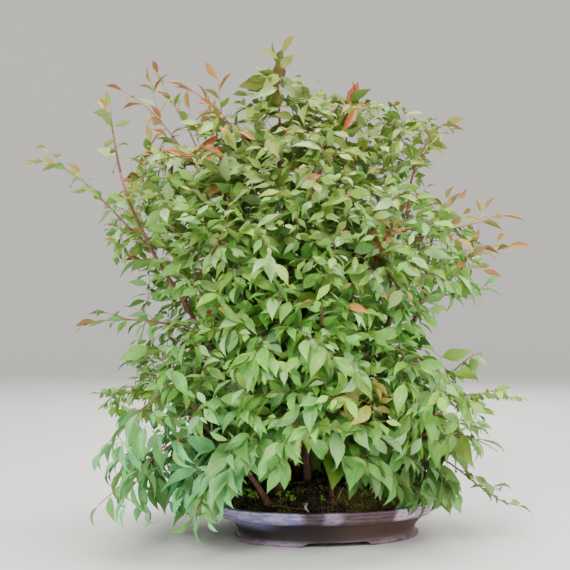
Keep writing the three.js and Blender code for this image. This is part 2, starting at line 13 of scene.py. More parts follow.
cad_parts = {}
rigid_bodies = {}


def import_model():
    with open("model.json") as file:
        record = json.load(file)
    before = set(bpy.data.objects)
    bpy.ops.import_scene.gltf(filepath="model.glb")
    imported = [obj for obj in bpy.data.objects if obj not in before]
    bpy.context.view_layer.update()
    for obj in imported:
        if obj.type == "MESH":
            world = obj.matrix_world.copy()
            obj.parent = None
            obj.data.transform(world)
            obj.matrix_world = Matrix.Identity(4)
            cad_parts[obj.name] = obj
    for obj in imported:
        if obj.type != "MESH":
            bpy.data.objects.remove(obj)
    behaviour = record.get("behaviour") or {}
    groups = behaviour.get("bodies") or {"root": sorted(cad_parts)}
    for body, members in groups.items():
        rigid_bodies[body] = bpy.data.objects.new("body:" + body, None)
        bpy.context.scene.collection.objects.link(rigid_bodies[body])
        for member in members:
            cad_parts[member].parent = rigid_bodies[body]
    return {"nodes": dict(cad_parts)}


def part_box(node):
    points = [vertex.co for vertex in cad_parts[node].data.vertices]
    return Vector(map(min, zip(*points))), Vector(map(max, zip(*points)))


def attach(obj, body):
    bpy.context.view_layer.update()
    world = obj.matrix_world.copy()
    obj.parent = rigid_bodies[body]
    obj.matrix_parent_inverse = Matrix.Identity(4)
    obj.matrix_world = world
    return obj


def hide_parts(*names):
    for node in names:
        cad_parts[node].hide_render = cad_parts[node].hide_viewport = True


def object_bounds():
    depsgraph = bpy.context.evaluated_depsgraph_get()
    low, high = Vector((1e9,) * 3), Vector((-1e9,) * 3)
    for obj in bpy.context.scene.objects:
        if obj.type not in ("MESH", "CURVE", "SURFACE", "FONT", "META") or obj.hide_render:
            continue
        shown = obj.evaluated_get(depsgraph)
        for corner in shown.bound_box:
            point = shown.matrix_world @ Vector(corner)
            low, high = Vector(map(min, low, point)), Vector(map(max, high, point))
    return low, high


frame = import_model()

bl_info = {
    "name": "Stewartia Clump",
    "version": (1, 0, 0),
    "blender": (4, 5, 0),
    "location": "3D Viewport > Sidebar > Bonsai",
    "description": "Builds a stewartia clump in an oval pot, with its soil and a studio",
    "category": "Add Mesh",
}

CAD_LOW, CAD_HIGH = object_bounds()
MM = 0.001

# The middle of the pot, from which every length below is measured, in millimetres
POT_LOW, POT_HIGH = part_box("pot")
POT_MIDDLE = np.array([(POT_LOW.x + POT_HIGH.x) / 2, (POT_LOW.y + POT_HIGH.y) / 2, 0]) / MM
POT_HALF_WIDTH = (POT_HIGH.x - POT_LOW.x) / 2 / MM
POT_HALF_DEPTH = (POT_HIGH.y - POT_LOW.y) / 2 / MM
POT_DEPTH_RATIO = POT_HALF_DEPTH / POT_HALF_WIDTH
POT_HEIGHT = POT_HIGH.z / MM
POT_WALL = 9
POT_FLOOR_TOP = 14
SHARPEST_SMOOTH = math.radians(38)
FOOT_HEIGHT = 6
ARCH_HALF_WIDTH = 46
DRAIN_RADIUS = 8
DRAIN_SIDES = 28
DRAIN_OFFSET = 66
SOIL_EDGE_HEIGHT = 45
SOIL_CREST_HEIGHT = 76
SOIL_INNER = POT_HALF_WIDTH - 14.2

# The plan of the wood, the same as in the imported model
STEM_ROOT_HEIGHT = 40
STEM_TAPER = 0.62
STEM_FLARE = 0.3
FLARE_FADES = 22
STEM_STARTS_OUT = 0.3
STEM_STARTS_UP = 0.42
STEM_STARTS_BACK = 0.1
STEM_ENDS_IN = 0.14
STEM_ENDS_UP = 0.7
BOUGH_RADIUS_RATIO = 0.62
BOUGH_RADIUS_MOST = 2.4
LIMB_TAPER = 0.6
LIMB_LEAVES_OUT = 0.28
LIMB_LEAVES_UP = 0.22
LIMB_ARRIVES = 0.34
LEADER_LEAVES = 0.35
LEADER_ARRIVES = 0.4
LEADER_ARCH = 0.08
BOW_SIZES = (14, 26, 40, 56, 74)
TWIGS_PER_SHOOT = 2
FIRST_TWIG = 0.22
TWIG_SPACING = 0.34
TWIG_SHIFT = 0.04
TWIG_REACH = (0.4, 0.5)
TWIG_FORWARD = 0.6
TWIG_ASIDE = 0.8
TWIG_UP = 0.25
TWIG_LIFTS = (0, 0.5, -0.5, 1)
TWIG_HANG = 0.4
TWIG_STARTS = 0.35
TWIG_ARRIVES = 0.72
TWIG_RADIUS_RATIO = 0.62
FORK = 0.3
JOINT_GAP = 0.35
WOOD_CLEARANCE = 2.4
SAMPLE_SPACING = 4
RING_SPACING = 66
SHOOT_RINGS = 3
BOUGH_RINGS = 2
BOUGH_FREE_FROM = 0.16
TWIG_FREE_FROM = 0.12
CROWN_X = -26
CROWN_Y = 4
CROWN_DEPTH_RATIO = 0.88
CROWN_HALF_WIDTHS = [(60, 250), (190, 292), (300, 250), (400, 262), (500, 218), (620, 95)]
FILL_LIMBS = 18
FILL_LOWEST = 110
FILL_HIGHEST = 560
FILL_REACH = (0.74, 0.86)
FILL_TURN = 0.2
FRONT_AND_BACK = 0.3
TOP_FROM = 400
MIDDLE_FROM = 150
LOWEST_LEAVE = 100
BELOW_TOP = 12
GOLDEN_ANGLE = math.pi * (3 - math.sqrt(5))
PLAN_SEED = 2024

HABITS = {
    "top": {"hang": 0.05, "pitch": 0.75, "rise": 95},
    "mid": {"hang": -0.55, "pitch": -0.05, "rise": 40},
    "low": {"hang": -0.85, "pitch": -0.75, "rise": -45},
    "fine": {"hang": -0.1, "pitch": -0.1, "rise": 20},
    "young": {"hang": 0.35, "pitch": 0.45, "rise": 60},
}

# Leaf length, gap between leaves in leaf lengths, lift of a leaf and how far it faces outward
FOLIAGE = {
    "top": {"blade": (26, 36), "gap": 0.31, "lift": -0.15, "outward": 0.5},
    "mid": {"blade": (31, 42), "gap": 0.31, "lift": -0.5, "outward": 0.55},
    "low": {"blade": (42, 62), "gap": 0.5, "lift": -0.9, "outward": 0.65},
    "fine": {"blade": (14, 23), "gap": 0.3, "lift": -0.3, "outward": 0.5},
    "young": {"blade": (25, 37), "gap": 0.55, "lift": 0.25, "outward": 0.35},
    "open": {"blade": (24, 35), "gap": 0.5, "lift": 0.05, "outward": 0.6},
}

# Foot, top and tip of each stem, its radius and the habit of its leading shoot
STEMS = [
    ((-24, 12), (-66, 4, 560), (-72, 0, 668), 5.8, "top"),
    ((-62, -14), (-287, -26, 500), (-302, -20, 582), 4.6, "top"),
    ((-44, 34), (-142, 42, 500), (-158, 36, 592), 5, "top"),
    ((17, 4), (30, 14, 520), (34, 22, 600), 5.4, "young"),
    ((42, -22), (110, -34, 480), (163, -26, 578), 5, "top"),
    ((66, 18), (158, 30, 400), (196, 26, 474), 4.4, "young"),
    ((86, -12), (152, -46, 200), (202, -70, 258), 3.6, "mid"),
    ((-84, -34), (-196, -72, 196), (-312, -92, 138), 4.2, "low"),
    ((0, -38), (-30, -104, 270), (-40, -168, 330), 4, "mid"),
    ((-30, 52), (-78, 112, 420), (-92, 158, 510), 4.4, "top"),
    ((46, 48), (84, 122, 360), (102, 172, 440), 4.4, "top"),
]

# Stem, height of leaving it, tip and habit of each limb at the crown's edge
EDGE_LIMBS = [
    (1, 400, (-412, -12, 516), "fine"),
    (2, 470, (-282, 18, 616), "young"),
    (2, 490, (-236, 74, 628), "young"),
    (0, 490, (-196, -38, 612), "young"),
    (5, 372, (256, -18, 404), "young"),
    (4, 400, (228, -64, 446), "young"),
    (5, 320, (252, 52, 352), "top"),
    (6, 178, (278, -26, 190), "fine"),
    (6, 130, (222, -78, 122), "low"),
    (6, 108, (262, -46, 42), "fine"),
    (1, 270, (-330, 4, 300), "fine"),
    (7, 178, (-318, -30, 206), "mid"),
    (7, 140, (-316, -104, 72), "low"),
    (7, 122, (-196, -132, 62), "low"),
]

# How much smaller or bigger than usual the leaves of a twig are
GRADES = (0.66, 0.9, 0.9, 1.28)

# Limbs, by their order, whose leaves look otherwise than their habit says
LIMB_LOOKS = {0: "open", 9: "open", 10: "open", 11: "fine"}

# How far the leafy crown reaches to the left and right at each height
CROWN_SIDES = [
    (60, -292, 184), (105, -302, 168), (133, -312, 182), (161, -326, 214), (189, -330, 244),
    (217, -320, 226), (245, -304, 176), (273, -288, 142), (301, -262, 146), (329, -244, 162),
    (364, -274, 230), (399, -312, 240), (434, -326, 208), (469, -318, 156), (511, -282, 146),
    (539, -256, 180), (574, -204, 192), (600, -150, 108), (625, -104, -30), (650, -90, -52),
]

# How low the leaves hang, from the far left to the far right
LOWEST_LEAVES = [
    (-420, 34), (-200, 20), (-164, 24), (-148, 42), (-126, 50), (-112, 100), (-52, 102),
    (-42, 142), (-8, 144), (2, 104), (44, 88), (78, 72), (104, 50), (150, 34), (178, 36),
    (192, 66), (214, 112), (246, 132), (320, 140),
]

# Copper or pink leaves in front: x, height and reach of each clump, and how young it is
FRONT_OF_CROWN = -30
YOUNG_CLUMPS = [
    (47, 212, 20, 0.5), (84, 416, 14, 1), (-186, 534, 30, 1), (-38, 578, 16, 0.9),
    (-46, 644, 20, 0.8), (28, 612, 24, 0.8), (160, 590, 16, 0.9), (-150, 470, 14, 0.7),
]


# Node trees, written as Python expressions

class Field:
    """A value in a node tree, on which Python's operators add Math nodes."""

    def __init__(self, graph, socket):
        self.graph = graph
        self.socket = socket

    def maths(self, operation, *values):
        sockets = dict(enumerate(values))
        return self.graph.field("ShaderNodeMath", {"operation": operation}, sockets)

    def __add__(self, other):
        return self.maths("ADD", self, other)

    def __radd__(self, other):
        return self.maths("ADD", other, self)

    def __sub__(self, other):
        return self.maths("SUBTRACT", self, other)

    def __rsub__(self, other):
        return self.maths("SUBTRACT", other, self)

    def __mul__(self, other):
        return self.maths("MULTIPLY", self, other)

    def __rmul__(self, other):
        return self.maths("MULTIPLY", other, self)

    def __abs__(self):
        return self.maths("ABSOLUTE", self)

    def fraction(self):
        return self.maths("FRACT", self)

    def over(self, edge):
        return self.maths("GREATER_THAN", self, edge)

    def most(self, other):
        return self.maths("MAXIMUM", self, other)

    def eased(self, low, high, start=0.0, end=1.0):
        """Goes smoothly from start to end while this value goes from low to high."""
        settings = {"interpolation_type": "SMOOTHSTEP"}
        sockets = {"Value": self, "From Min": low, "From Max": high}
        sockets |= {"To Min": start, "To Max": end}
        return self.graph.field("ShaderNodeMapRange", settings, sockets)


class Graph:
    """A node tree that is being built."""

    def __init__(self, tree):
        self.tree = tree

    def node(self, kind, settings=None, sockets=None):
        """Adds a node, sets its settings first, and then fills or links its sockets."""
        made = self.tree.nodes.new(kind)
        for name, value in (settings or {}).items():
            setattr(made, name, value)
        for name, value in (sockets or {}).items():
            if isinstance(value, Field):
                self.tree.links.new(value.socket, made.inputs[name])
            else:
                made.inputs[name].default_value = value
        return made

    def field(self, kind, settings=None, sockets=None, output=0):
        return Field(self, self.node(kind, settings, sockets).outputs[output])

    def blend(self, share, first, second):
        """Mixes two colours."""
        settings = {"data_type": "RGBA", "clamp_factor": True}
        first = first if isinstance(first, Field) else opaque(first)
        second = second if isinstance(second, Field) else opaque(second)
        return self.field("ShaderNodeMix", settings, {0: share, 6: first, 7: second}, 2)

    def shaded(self, colour, factor):
        """Makes a colour darker or lighter by a factor that varies."""
        grey = self.field("ShaderNodeCombineXYZ", None, {"X": factor, "Y": factor, "Z": factor})
        return self.field("ShaderNodeVectorMath", {"operation": "MULTIPLY"}, {0: colour, 1: grey})


def opaque(colour):
    """A colour with full cover, as sockets want it."""
    return (*tuple(colour)[:3], 1.0)


def srgb(code):
    """The linear colour of a code such as 0x6B4636."""
    parts = [((code >> shift) & 255) / 255 for shift in (16, 8, 0)]
    return tuple(c / 12.92 if c <= 0.04045 else ((c + 0.055) / 1.055) ** 2.4 for c in parts)


def new_material(name):
    """An empty material and its graph."""
    material = bpy.data.materials.get(name) or bpy.data.materials.new(name)
    material.use_nodes = True
    material.node_tree.nodes.clear()
    return material, Graph(material.node_tree)


def finish_material(graph, sockets):
    """Adds the shader with its sockets filled, and the output."""
    shader = graph.node("ShaderNodeBsdfPrincipled", None, sockets)
    surface = Field(graph, shader.outputs[0])
    graph.node("ShaderNodeOutputMaterial", None, {"Surface": surface})


def object_point(graph, scale=(1, 1, 1)):
    """The place in the piece, stretched along an axis where that scale is small."""
    point = graph.field("ShaderNodeTexCoord", None, None, 3)
    return graph.field("ShaderNodeMapping", None, {"Vector": point, "Scale": scale})


def mottle(graph, point, scale, detail=3.0, roughness=0.5):
    """Soft noise between 0 and 1."""
    sockets = {"Vector": point, "Scale": scale, "Detail": detail, "Roughness": roughness}
    return graph.field("ShaderNodeTexNoise", None, sockets)


def grains(graph, point, scale):
    """Distance to the nearest of many scattered points."""
    sockets = {"Vector": point, "Scale": scale}
    return graph.field("ShaderNodeTexVoronoi", {"feature": "F1"}, sockets)


def bumped(graph, height, strength, distance):
    """The normal of a surface with small relief, at most that distance deep in metres."""
    sockets = {"Height": height, "Strength": strength, "Distance": distance}
    return graph.field("ShaderNodeBump", None, sockets)


def attribute(graph, name):
    """A value kept for each point of the mesh."""
    return graph.field("ShaderNodeAttribute", {"attribute_name": name}, None, 2)


# Materials

# How far right of a leaf's upper side its underside lies in the map, and what lies between them
UNDER_SHIFT = 1.5
UNDER_FROM = 1.25


def another(tone, factor):
    """One more random value for a leaf, drawn out of its tone."""
    return (tone * factor).fraction()


def leaf_material(settings):
    """Stewartia leaf: green by its place in the crown, with a midrib and side veins, a painted
    sheen on some leaves, and painted shade on leaves deep in the crown, low at its back and front,
    and along its left side.
    """
    material, graph = new_material("stewartia_leaf")
    lush = attribute(graph, "lush")
    bloom = attribute(graph, "bloom")
    youth = attribute(graph, "youth")
    tone = attribute(graph, "tone")
    # inside is painted shade: how much a leaf is darkened, deep in the crown, low at its back, low
    # over the pot and along its left side
    inside = attribute(graph, "inside")
    light = another(tone, 5.7)
    place = graph.field("ShaderNodeUVMap", {"uv_map": "blade"})
    parts = graph.node("ShaderNodeSeparateXYZ", None, {"Vector": place})
    across = Field(graph, parts.outputs["X"])
    along = Field(graph, parts.outputs["Y"])
    under = across.over(UNDER_FROM)
    side = abs((across - UNDER_SHIFT * under) * 2 - 1)
    point = object_point(graph)
    patch = mottle(graph, point, 210, 2)
    region = mottle(graph, point, 12, 2)
    green = graph.blend(lush, settings.top_green, settings.middle_green)
    green = graph.blend(region.eased(0.45, 0.62, 0, 0.4), green, settings.olive)
    green = graph.blend(tone.eased(0.6, 1, 0, 0.7), green, settings.fresh_green)
    # Painted sheen: a pale grey-green mixed into some leaves, at random, stands in for their shine
    green = graph.blend(another(tone, 11.3).eased(0.62, 0.8, 0, 0.42), green, settings.sheen)
    green = graph.blend(another(tone, 7.9).eased(0.7, 0.8, 0, 0.7), green, settings.deep_green)
    green = graph.blend(bloom * light.eased(0.1, 0.6, 0.3, 0.9), green, settings.low_green)
    copper = graph.blend(tone, settings.copper, settings.pink)
    copper = graph.blend(along.eased(0.2, 0.8, 0.35, 0), copper, settings.top_green)
    colour = graph.blend(youth, green, copper)
    slant = (along * 15 - side * 3.2).fraction()
    vein = abs(slant - 0.5).eased(0.5, 0.4, 0, 1) * side.eased(0.02, 0.2) * 0.5
    rib = side.eased(0.09, 0.02)
    stalk = along.eased(0.1, 0.07)
    pale = graph.blend(youth, settings.vein_green, settings.pink)
    colour = graph.blend(rib.most(vein * 0.55) * 0.62, colour, pale)
    colour = graph.blend(stalk * 0.8, colour, settings.stalk)
    colour = graph.blend(under * 0.35, colour, settings.underside)
    rim = side.eased(0.8, 1) * 0.12
    # Painted shade: the inside term darkens the colour
    bright = (0.76 + light * 0.64 + patch * 0.26 - rim) * (1 - inside * 0.34 - youth * 0.22)
    colour = graph.shaded(colour, bright)
    relief = side.eased(0, 0.4, 0, 0.4) - vein * 0.5 + patch * 0.15 - rib * 0.4
    gloss = 0.25 + patch * 0.16 + under * 0.3 + inside * 0.2
    finish_material(graph, {
        "Base Color": colour,
        "Roughness": gloss,
        "Normal": bumped(graph, relief, 0.35, 0.0006),
        "Specular IOR Level": 0.42,
    })
    return material


def bark_material(settings):
    """Bark: cracked and flaking on old wood, paler above, and green to pink on young shoots."""
    material, graph = new_material("stewartia_bark")
    young = attribute(graph, "young")
    streak = mottle(graph, object_point(graph, (1, 1, 0.22)), 340, 4, 0.6)
    flake = mottle(graph, object_point(graph, (1, 1, 0.5)), 110, 3, 0.6)
    fine = mottle(graph, object_point(graph), 900, 2)
    worn = flake.eased(0.5, 0.6)
    russet = attribute(graph, "russet")
    outer = graph.blend(russet, settings.bark_grey, settings.bark)
    old = graph.blend(streak.eased(0.35, 0.65), settings.bark_dark, outer)
    old = graph.blend(worn * (0.2 + russet * 0.6), old, settings.bark_inner)
    shoot = graph.blend(flake.eased(0.38, 0.55), settings.shoot, settings.shoot_pink)
    twig = graph.blend(young.eased(0.45, 0.95), settings.bark, shoot)
    colour = graph.blend(young.eased(0.08, 0.26) * 0.55, old, settings.bark_pale)
    colour = graph.blend(young.eased(0.25, 0.6), colour, twig)
    colour = graph.shaded(colour, 0.75 + fine * 0.5)
    relief = streak * 0.6 + worn * 0.5 + fine * 0.3
    finish_material(graph, {
        "Base Color": colour,
        "Roughness": 0.78 - worn * 0.18 - young * 0.15,
        "Normal": bumped(graph, relief, 0.6, 0.0008),
    })
    return material


def clay_material(settings):
    """Unglazed clay: brown, with a bluish to pink haze on the rim that is strongest at its ends as
    a painted highlight, a painted highlight on the far left of the waist, and a pale foot that is
    partly haze and partly a painted highlight.
    """
    material, graph = new_material("pot_clay")
    point = object_point(graph)
    parts = graph.node("ShaderNodeSeparateXYZ", None, {"Vector": point})
    height = Field(graph, parts.outputs["Z"])
    aside = Field(graph, parts.outputs["X"]) - float(POT_MIDDLE[0] * MM)
    cloud = mottle(graph, point, 16, 4, 0.6)
    drift = mottle(graph, object_point(graph, (1, 1, 3)), 42, 5, 0.65)
    speck = mottle(graph, point, 900, 2)
    pits = grains(graph, point, 620)
    wander = aside + (cloud - 0.5) * 0.05
    # left, right and spot place the pale haze on the rim, as a painted highlight at both ends and a
    # weaker one a little left of the middle
    left = wander.eased(-0.04, -0.058)
    right = wander.eased(0.074, 0.086)
    spot = abs(wander + 0.008).eased(0.018, 0.006)
    rim = height.eased(0.03, 0.034)
    waist_highlight = height.eased(0.016, 0.03) * wander.eased(-0.075, -0.11)
    foot = height.eased(0.009, 0.003)
    colour = graph.blend(wander.eased(-0.03, 0.05), settings.clay_dark, settings.clay)
    pink = graph.blend(drift.eased(0.35, 0.65), settings.clay_pink, settings.clay_haze_and_highlight)
    blue = graph.blend(drift.eased(0.4, 0.7), settings.clay_mauve, settings.clay_haze_and_highlight)
    # bloom mixes the clay's pale haze colours, bluish on the left and pink elsewhere; on the rim
    # they also serve as a painted highlight
    bloom = graph.blend(left, pink, blue)
    haze_and_highlight = left.most(right).most(spot * 0.55)
    dash = mottle(graph, object_point(graph, (1, 1, 9)), 70, 2).eased(0.6, 0.66)
    # A little haze all round the rim, and much more where the painted highlight lies
    colour = graph.blend(rim * (0.12 + haze_and_highlight * 0.86), colour, bloom)
    colour = graph.blend(rim * dash * 0.75, colour, settings.clay_dark)
    # Painted highlight: the bluish haze on the far left of the waist and rim
    colour = graph.blend(waist_highlight * 0.6, colour, blue)
    # The pale foot, stronger on the left: partly the clay's haze and partly a painted highlight
    # along its edge
    band = foot * (drift.eased(0.35, 0.6, 0.1, 0.35) + wander.eased(-0.05, -0.09) * 0.4)
    colour = graph.blend(band, colour, pink)
    colour = graph.shaded(colour, 0.78 + speck * 0.44)
    relief = speck * 0.6 + pits.eased(0, 0.35) * 0.5 + drift * 0.5
    finish_material(graph, {
        "Base Color": colour,
        "Roughness": 0.34 + drift * 0.22 + (speck - 0.5) * 0.15,
        "Normal": bumped(graph, relief, 0.35, 0.0006),
    })
    return material


def earth_material(settings):
    """Dark soil of crumbs and fine roots, with painted shade in the gaps between the crumbs,
    greener where the moss grows.
    """
    material, graph = new_material("dark_soil")
    point = object_point(graph)
    moss = attribute(graph, "moss")
    crumb = grains(graph, point, 330)
    coarse = grains(graph, point, 150)
    cloud = mottle(graph, point, 60, 4, 0.6)
    fine = mottle(graph, point, 1200, 2)
    # The darkest colour lies in the gaps between the crumbs: dark soil, deepened as painted shade
    colour = graph.blend(crumb.eased(0.1, 0.6), settings.soil, settings.dark_soil_and_gap_shade)
    colour = graph.blend(cloud.eased(0.52, 0.72) * 0.6, colour, settings.soil_dry)
    patch = (moss + (cloud - 0.5) * 0.9).eased(0.45, 0.75)
    colour = graph.blend(patch, colour, settings.moss_dark)
    colour = graph.shaded(colour, 0.6 + fine * 0.7)
    relief = crumb * 0.8 + coarse * 0.8 + fine * 0.3
    finish_material(graph, {
        "Base Color": colour,
        "Roughness": 0.94,
        "Normal": bumped(graph, relief, 0.8, 0.002),
    })
    return material


def moss_material(settings):
    """Olive moss, tan where it has dried."""
    material, graph = new_material("olive_moss")
    point = object_point(graph)
    dry = mottle(graph, point, 75, 3)
    fine = mottle(graph, point, 800, 2)
    colour = graph.blend(dry.eased(0.45, 0.62), settings.moss, settings.moss_dry)
    colour = graph.shaded(colour, 0.65 + fine * 0.7)
    finish_material(graph, {
        "Base Color": colour,
        "Roughness": 0.9,
        "Normal": bumped(graph, fine, 0.4, 0.0005),
    })
    return material


def grit_material(settings):
    """Small stones and baked clay crumbs."""
    material, graph = new_material("soil_grit")
    point = object_point(graph)
    cloud = mottle(graph, point, 140, 1)
    fine = mottle(graph, point, 1500, 2)
    colour = graph.blend(cloud.eased(0.4, 0.6), settings.soil_dry, settings.grit)
    colour = graph.shaded(colour, 0.5 + fine * 0.8)
    finish_material(graph, {
        "Base Color": colour,
        "Roughness": 0.9,
        "Normal": bumped(graph, fine, 0.5, 0.0005),
    })
    return material


def straw_material(settings):
    """Dried grass and fallen leaf."""
    material, graph = new_material("dry_straw")
    streak = mottle(graph, object_point(graph), 420, 3)
    colour = graph.blend(streak.eased(0.4, 0.6), settings.straw, settings.straw_dark)
    colour = graph.blend(attribute(graph, "husk"), colour, settings.husk)
    finish_material(graph, {
        "Base Color": colour,
        "Roughness": 0.8,
        "Normal": bumped(graph, streak, 0.5, 0.0006),
    })
    return material


def weed_material(settings):
    """Small bright leaves of the weeds on the soil."""
    material, graph = new_material("weed_leaf")
    cloud = mottle(graph, object_point(graph), 320, 2)
    colour = graph.blend(cloud.eased(0.35, 0.65), settings.fresh_green, settings.weed)
    finish_material(graph, {
        "Base Color": colour,
        "Roughness": 0.5 + cloud * 0.1,
        "Normal": bumped(graph, cloud, 0.3, 0.0005),
    })
    return material


def plastic_material(settings):
    """Moulded plastic of the drain meshes, dulled by soil."""
    material, graph = new_material("drain_plastic")
    point = object_point(graph)
    cloud = mottle(graph, point, 120, 3)
    fine = mottle(graph, point, 1400, 2)
    colour = graph.blend(cloud.eased(0.5, 0.7) * 0.6, settings.plastic, settings.soil_dry)
    finish_material(graph, {
        "Base Color": colour,
        "Roughness": 0.45 + cloud * 0.3,
        "Normal": bumped(graph, fine, 0.2, 0.0003),
    })
    return material


def floor_material(settings):
    """The pale studio floor."""
    material, graph = new_material("studio_floor")
    cloud = mottle(graph, object_point(graph), 3, 2)
    colour = graph.blend(cloud * 0.1, settings.floor, settings.floor_shade)
    finish_material(graph, {"Base Color": colour, "Roughness": 0.75})
    return material


# The plan of the wood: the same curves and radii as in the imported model

class Bend:
    """A cubic curve with a start, two controls and an end."""

    def __init__(self, *corners):
        self.corners = np.array(corners, float)

    def at(self, share):
        """The point, or points, at a share from 0 to 1."""
        s = np.asarray(share, float)[..., None]
        r = 1 - s
        a, b, c, d = self.corners
        return r**3 * a + 3 * r * r * s * b + 3 * r * s * s * c + s**3 * d

    def heading(self, share):
        """The way along the curve at a share."""
        s = np.asarray(share, float)[..., None]
        r = 1 - s
        a, b, c, d = self.corners
        return unit(r * r * (b - a) + 2 * r * s * (c - b) + s * s * (d - c))

    def length(self):
        return np.linalg.norm(np.diff(self.at(np.linspace(0, 1, 201)), axis=0), axis=1).sum()


@dataclass
class Wood:
    """A length of wood on a curve, the radius along it, and what grows on it."""

    curve: Bend
    start: float
    end: float
    rings: int
    radius_at: object
    habit: str = "top"
    look: str = ""
    row: object = None
    parts: list = field(default_factory=list)


class Chance:
    """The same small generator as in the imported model."""

    FACTOR = 16807
    MODULUS = 2147483647

    def __init__(self, seed):
        self.state = seed

    def draw(self, low, high):
        self.state = self.state * self.FACTOR % self.MODULUS
        return low + (high - low) * (self.state - 1) / (self.MODULUS - 1)


UP = np.array([0.0, 0.0, 1.0])


def unit(vectors):
    """Vectors of length 1 with the same directions."""
    size = np.linalg.norm(vectors, axis=-1, keepdims=True)
    return vectors / np.maximum(size, 1e-9)


def side_of(heading):
    """A nearly level vector square to a heading."""
    reference = UP if abs(heading[2]) < 0.97 else np.array([1.0, 0.0, 0.0])
    return unit(np.cross(heading, reference))


def smooth(value, low, high):
    """Goes smoothly from 0 to 1 while the value goes from low to high, which may be smaller."""
    share = min(max((value - low) / (high - low), 0.0), 1.0)
    return share * share * (3 - 2 * share)


def between(table, place, column=1):
    """The value of a column at a place between the rows of a table."""
    xs = [row[0] for row in table]
    ys = [row[column] for row in table]
    return float(np.interp(place, xs, ys))


def crown_half_width(height):
    """Like between, but it goes on past the ends of the table."""
    last = len(CROWN_HALF_WIDTHS) - 2
    i = 0
    while i < last and height > CROWN_HALF_WIDTHS[i + 1][0]:
        i += 1
    (z0, w0), (z1, w1) = CROWN_HALF_WIDTHS[i], CROWN_HALF_WIDTHS[i + 1]
    return w0 + (w1 - w0) * (height - z0) / (z1 - z0)


def stem_curve(foot, top):
    """The line of a stem, from its foot in the soil to its top."""
    foot = np.array([*foot, STEM_ROOT_HEIGHT], float)
    top = np.array(top, float)
    rise = top[2] - foot[2]
    lower = foot + (top - foot) * STEM_STARTS_OUT
    lower[2] = foot[2] + STEM_STARTS_UP * rise
    lower[0] += STEM_STARTS_BACK * (foot[0] - top[0])
    upper = top + (foot - top) * STEM_ENDS_IN
    upper[2] = foot[2] + STEM_ENDS_UP * rise
    return Bend(foot, lower, upper, top)


def share_at_height(curve, height):
    """Where a rising curve passes a height, found by halving."""
    low, high = 0.0, 1.0
    for _ in range(30):
        middle = (low + high) / 2
        if curve.at(middle)[2] < height:
            low = middle
        else:
            high = middle
    return (low + high) / 2


def limb_curve(start, tip, pitch, bow):
    """The line of a limb, which leaves its stem outward and arrives at its tip with a pitch."""
    span = np.linalg.norm(tip - start)
    outward = unit(np.array([tip[0] - start[0], tip[1] - start[1], 0]))
    aside = np.array([-outward[1], outward[0], 0])
    arrival = unit(outward + UP * pitch)
    shift = aside * bow[0] + UP * bow[1]
    first = start + outward * LIMB_LEAVES_OUT * span + UP * LIMB_LEAVES_UP * span + shift
    second = tip - arrival * LIMB_ARRIVES * span + shift
    return Bend(start, first, second, tip)


def point_on_wood(wood, share):
    """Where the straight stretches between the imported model's rings pass."""
    step = (wood.end - wood.start) / wood.rings
    share = np.asarray(share, float)
    ring = np.minimum(np.floor((share - wood.start) / step), wood.rings - 1)
    low = wood.start + ring * step
    first, second = wood.curve.at(low), wood.curve.at(low + step)
    return first + (second - first) * ((share - low) / step)[..., None]


def samples(wood, start):
    """Points along a length of wood with its radius there, close enough for a test of gaps."""
    count = math.ceil(wood.curve.length() * (wood.end - start) / SAMPLE_SPACING)
    shares = start + (wood.end - start) * np.arange(count + 1) / count
    return np.column_stack([point_on_wood(wood, shares), wood.radius_at(shares)])


def is_clear(row, other):
    """Whether two sampled lengths of wood keep their distance."""
    gaps = np.linalg.norm(row[:, None, :3] - other[None, :, :3], axis=2)
    return bool((gaps >= row[:, None, 3] + other[None, :, 3] + WOOD_CLEARANCE).all())


def bows():
    """How far aside and up a limb is bowed, from straight on."""
    yield 0, 0
    for size in BOW_SIZES:
        yield from ((size, 0), (-size, 0), (0.7 * size, 0.6 * size))
        yield from ((-0.7 * size, 0.6 * size), (0, size))


def tapering(thick, taper):
    """The radius along a limb or twig."""
    return lambda share: thick * (1 - taper * np.asarray(share))


def flared(radius):
    """The radius along a stem, which is wider at its foot."""

    def radius_at(share):
        flare = STEM_FLARE * np.exp(-np.asarray(share) * FLARE_FADES)
        return radius * (1 - STEM_TAPER * np.asarray(share) + flare)

    return radius_at


def plan_stems():
    """The stems, without their boughs."""
    stems = []
    for foot, top, _, radius, habit in STEMS:
        rings = math.floor((top[2] - STEM_ROOT_HEIGHT) / RING_SPACING + 0.5)
        stem = Wood(stem_curve(foot, top), 0, 1, rings, flared(radius), habit)
        stem.row = samples(stem, 0)
        stems.append(stem)
    return stems


def fill_limbs(stems, chance):
    """Limbs that fill the crown in a spiral, each on a stem that passes near its tip."""
    limbs = []
    for i in range(FILL_LIMBS):
        height = FILL_LOWEST + (FILL_HIGHEST - FILL_LOWEST) * (i + 0.5) / FILL_LIMBS
        around = i * GOLDEN_ANGLE + chance.draw(-FILL_TURN, FILL_TURN)
        angle = around + FRONT_AND_BACK * math.sin(2 * around)
        reach = crown_half_width(height) * chance.draw(*FILL_REACH)
        x = CROWN_X + reach * math.cos(angle)
        y = CROWN_Y + CROWN_DEPTH_RATIO * reach * math.sin(angle)
        tip = np.array([x, y, height])
        habit = "top" if height > TOP_FROM else "mid" if height > MIDDLE_FROM else "low"
        leave = max(height - HABITS[habit]["rise"], LOWEST_LEAVE)
        gaps = []
        for stem, (_, top, *_) in zip(stems, STEMS):
            point = stem.curve.at(share_at_height(stem.curve, leave))
            gap = np.linalg.norm(point - tip)
            gaps.append(gap if leave < top[2] - BELOW_TOP else math.inf)
        limbs.append((gaps.index(min(gaps)), leave, tip, habit))
    return limbs


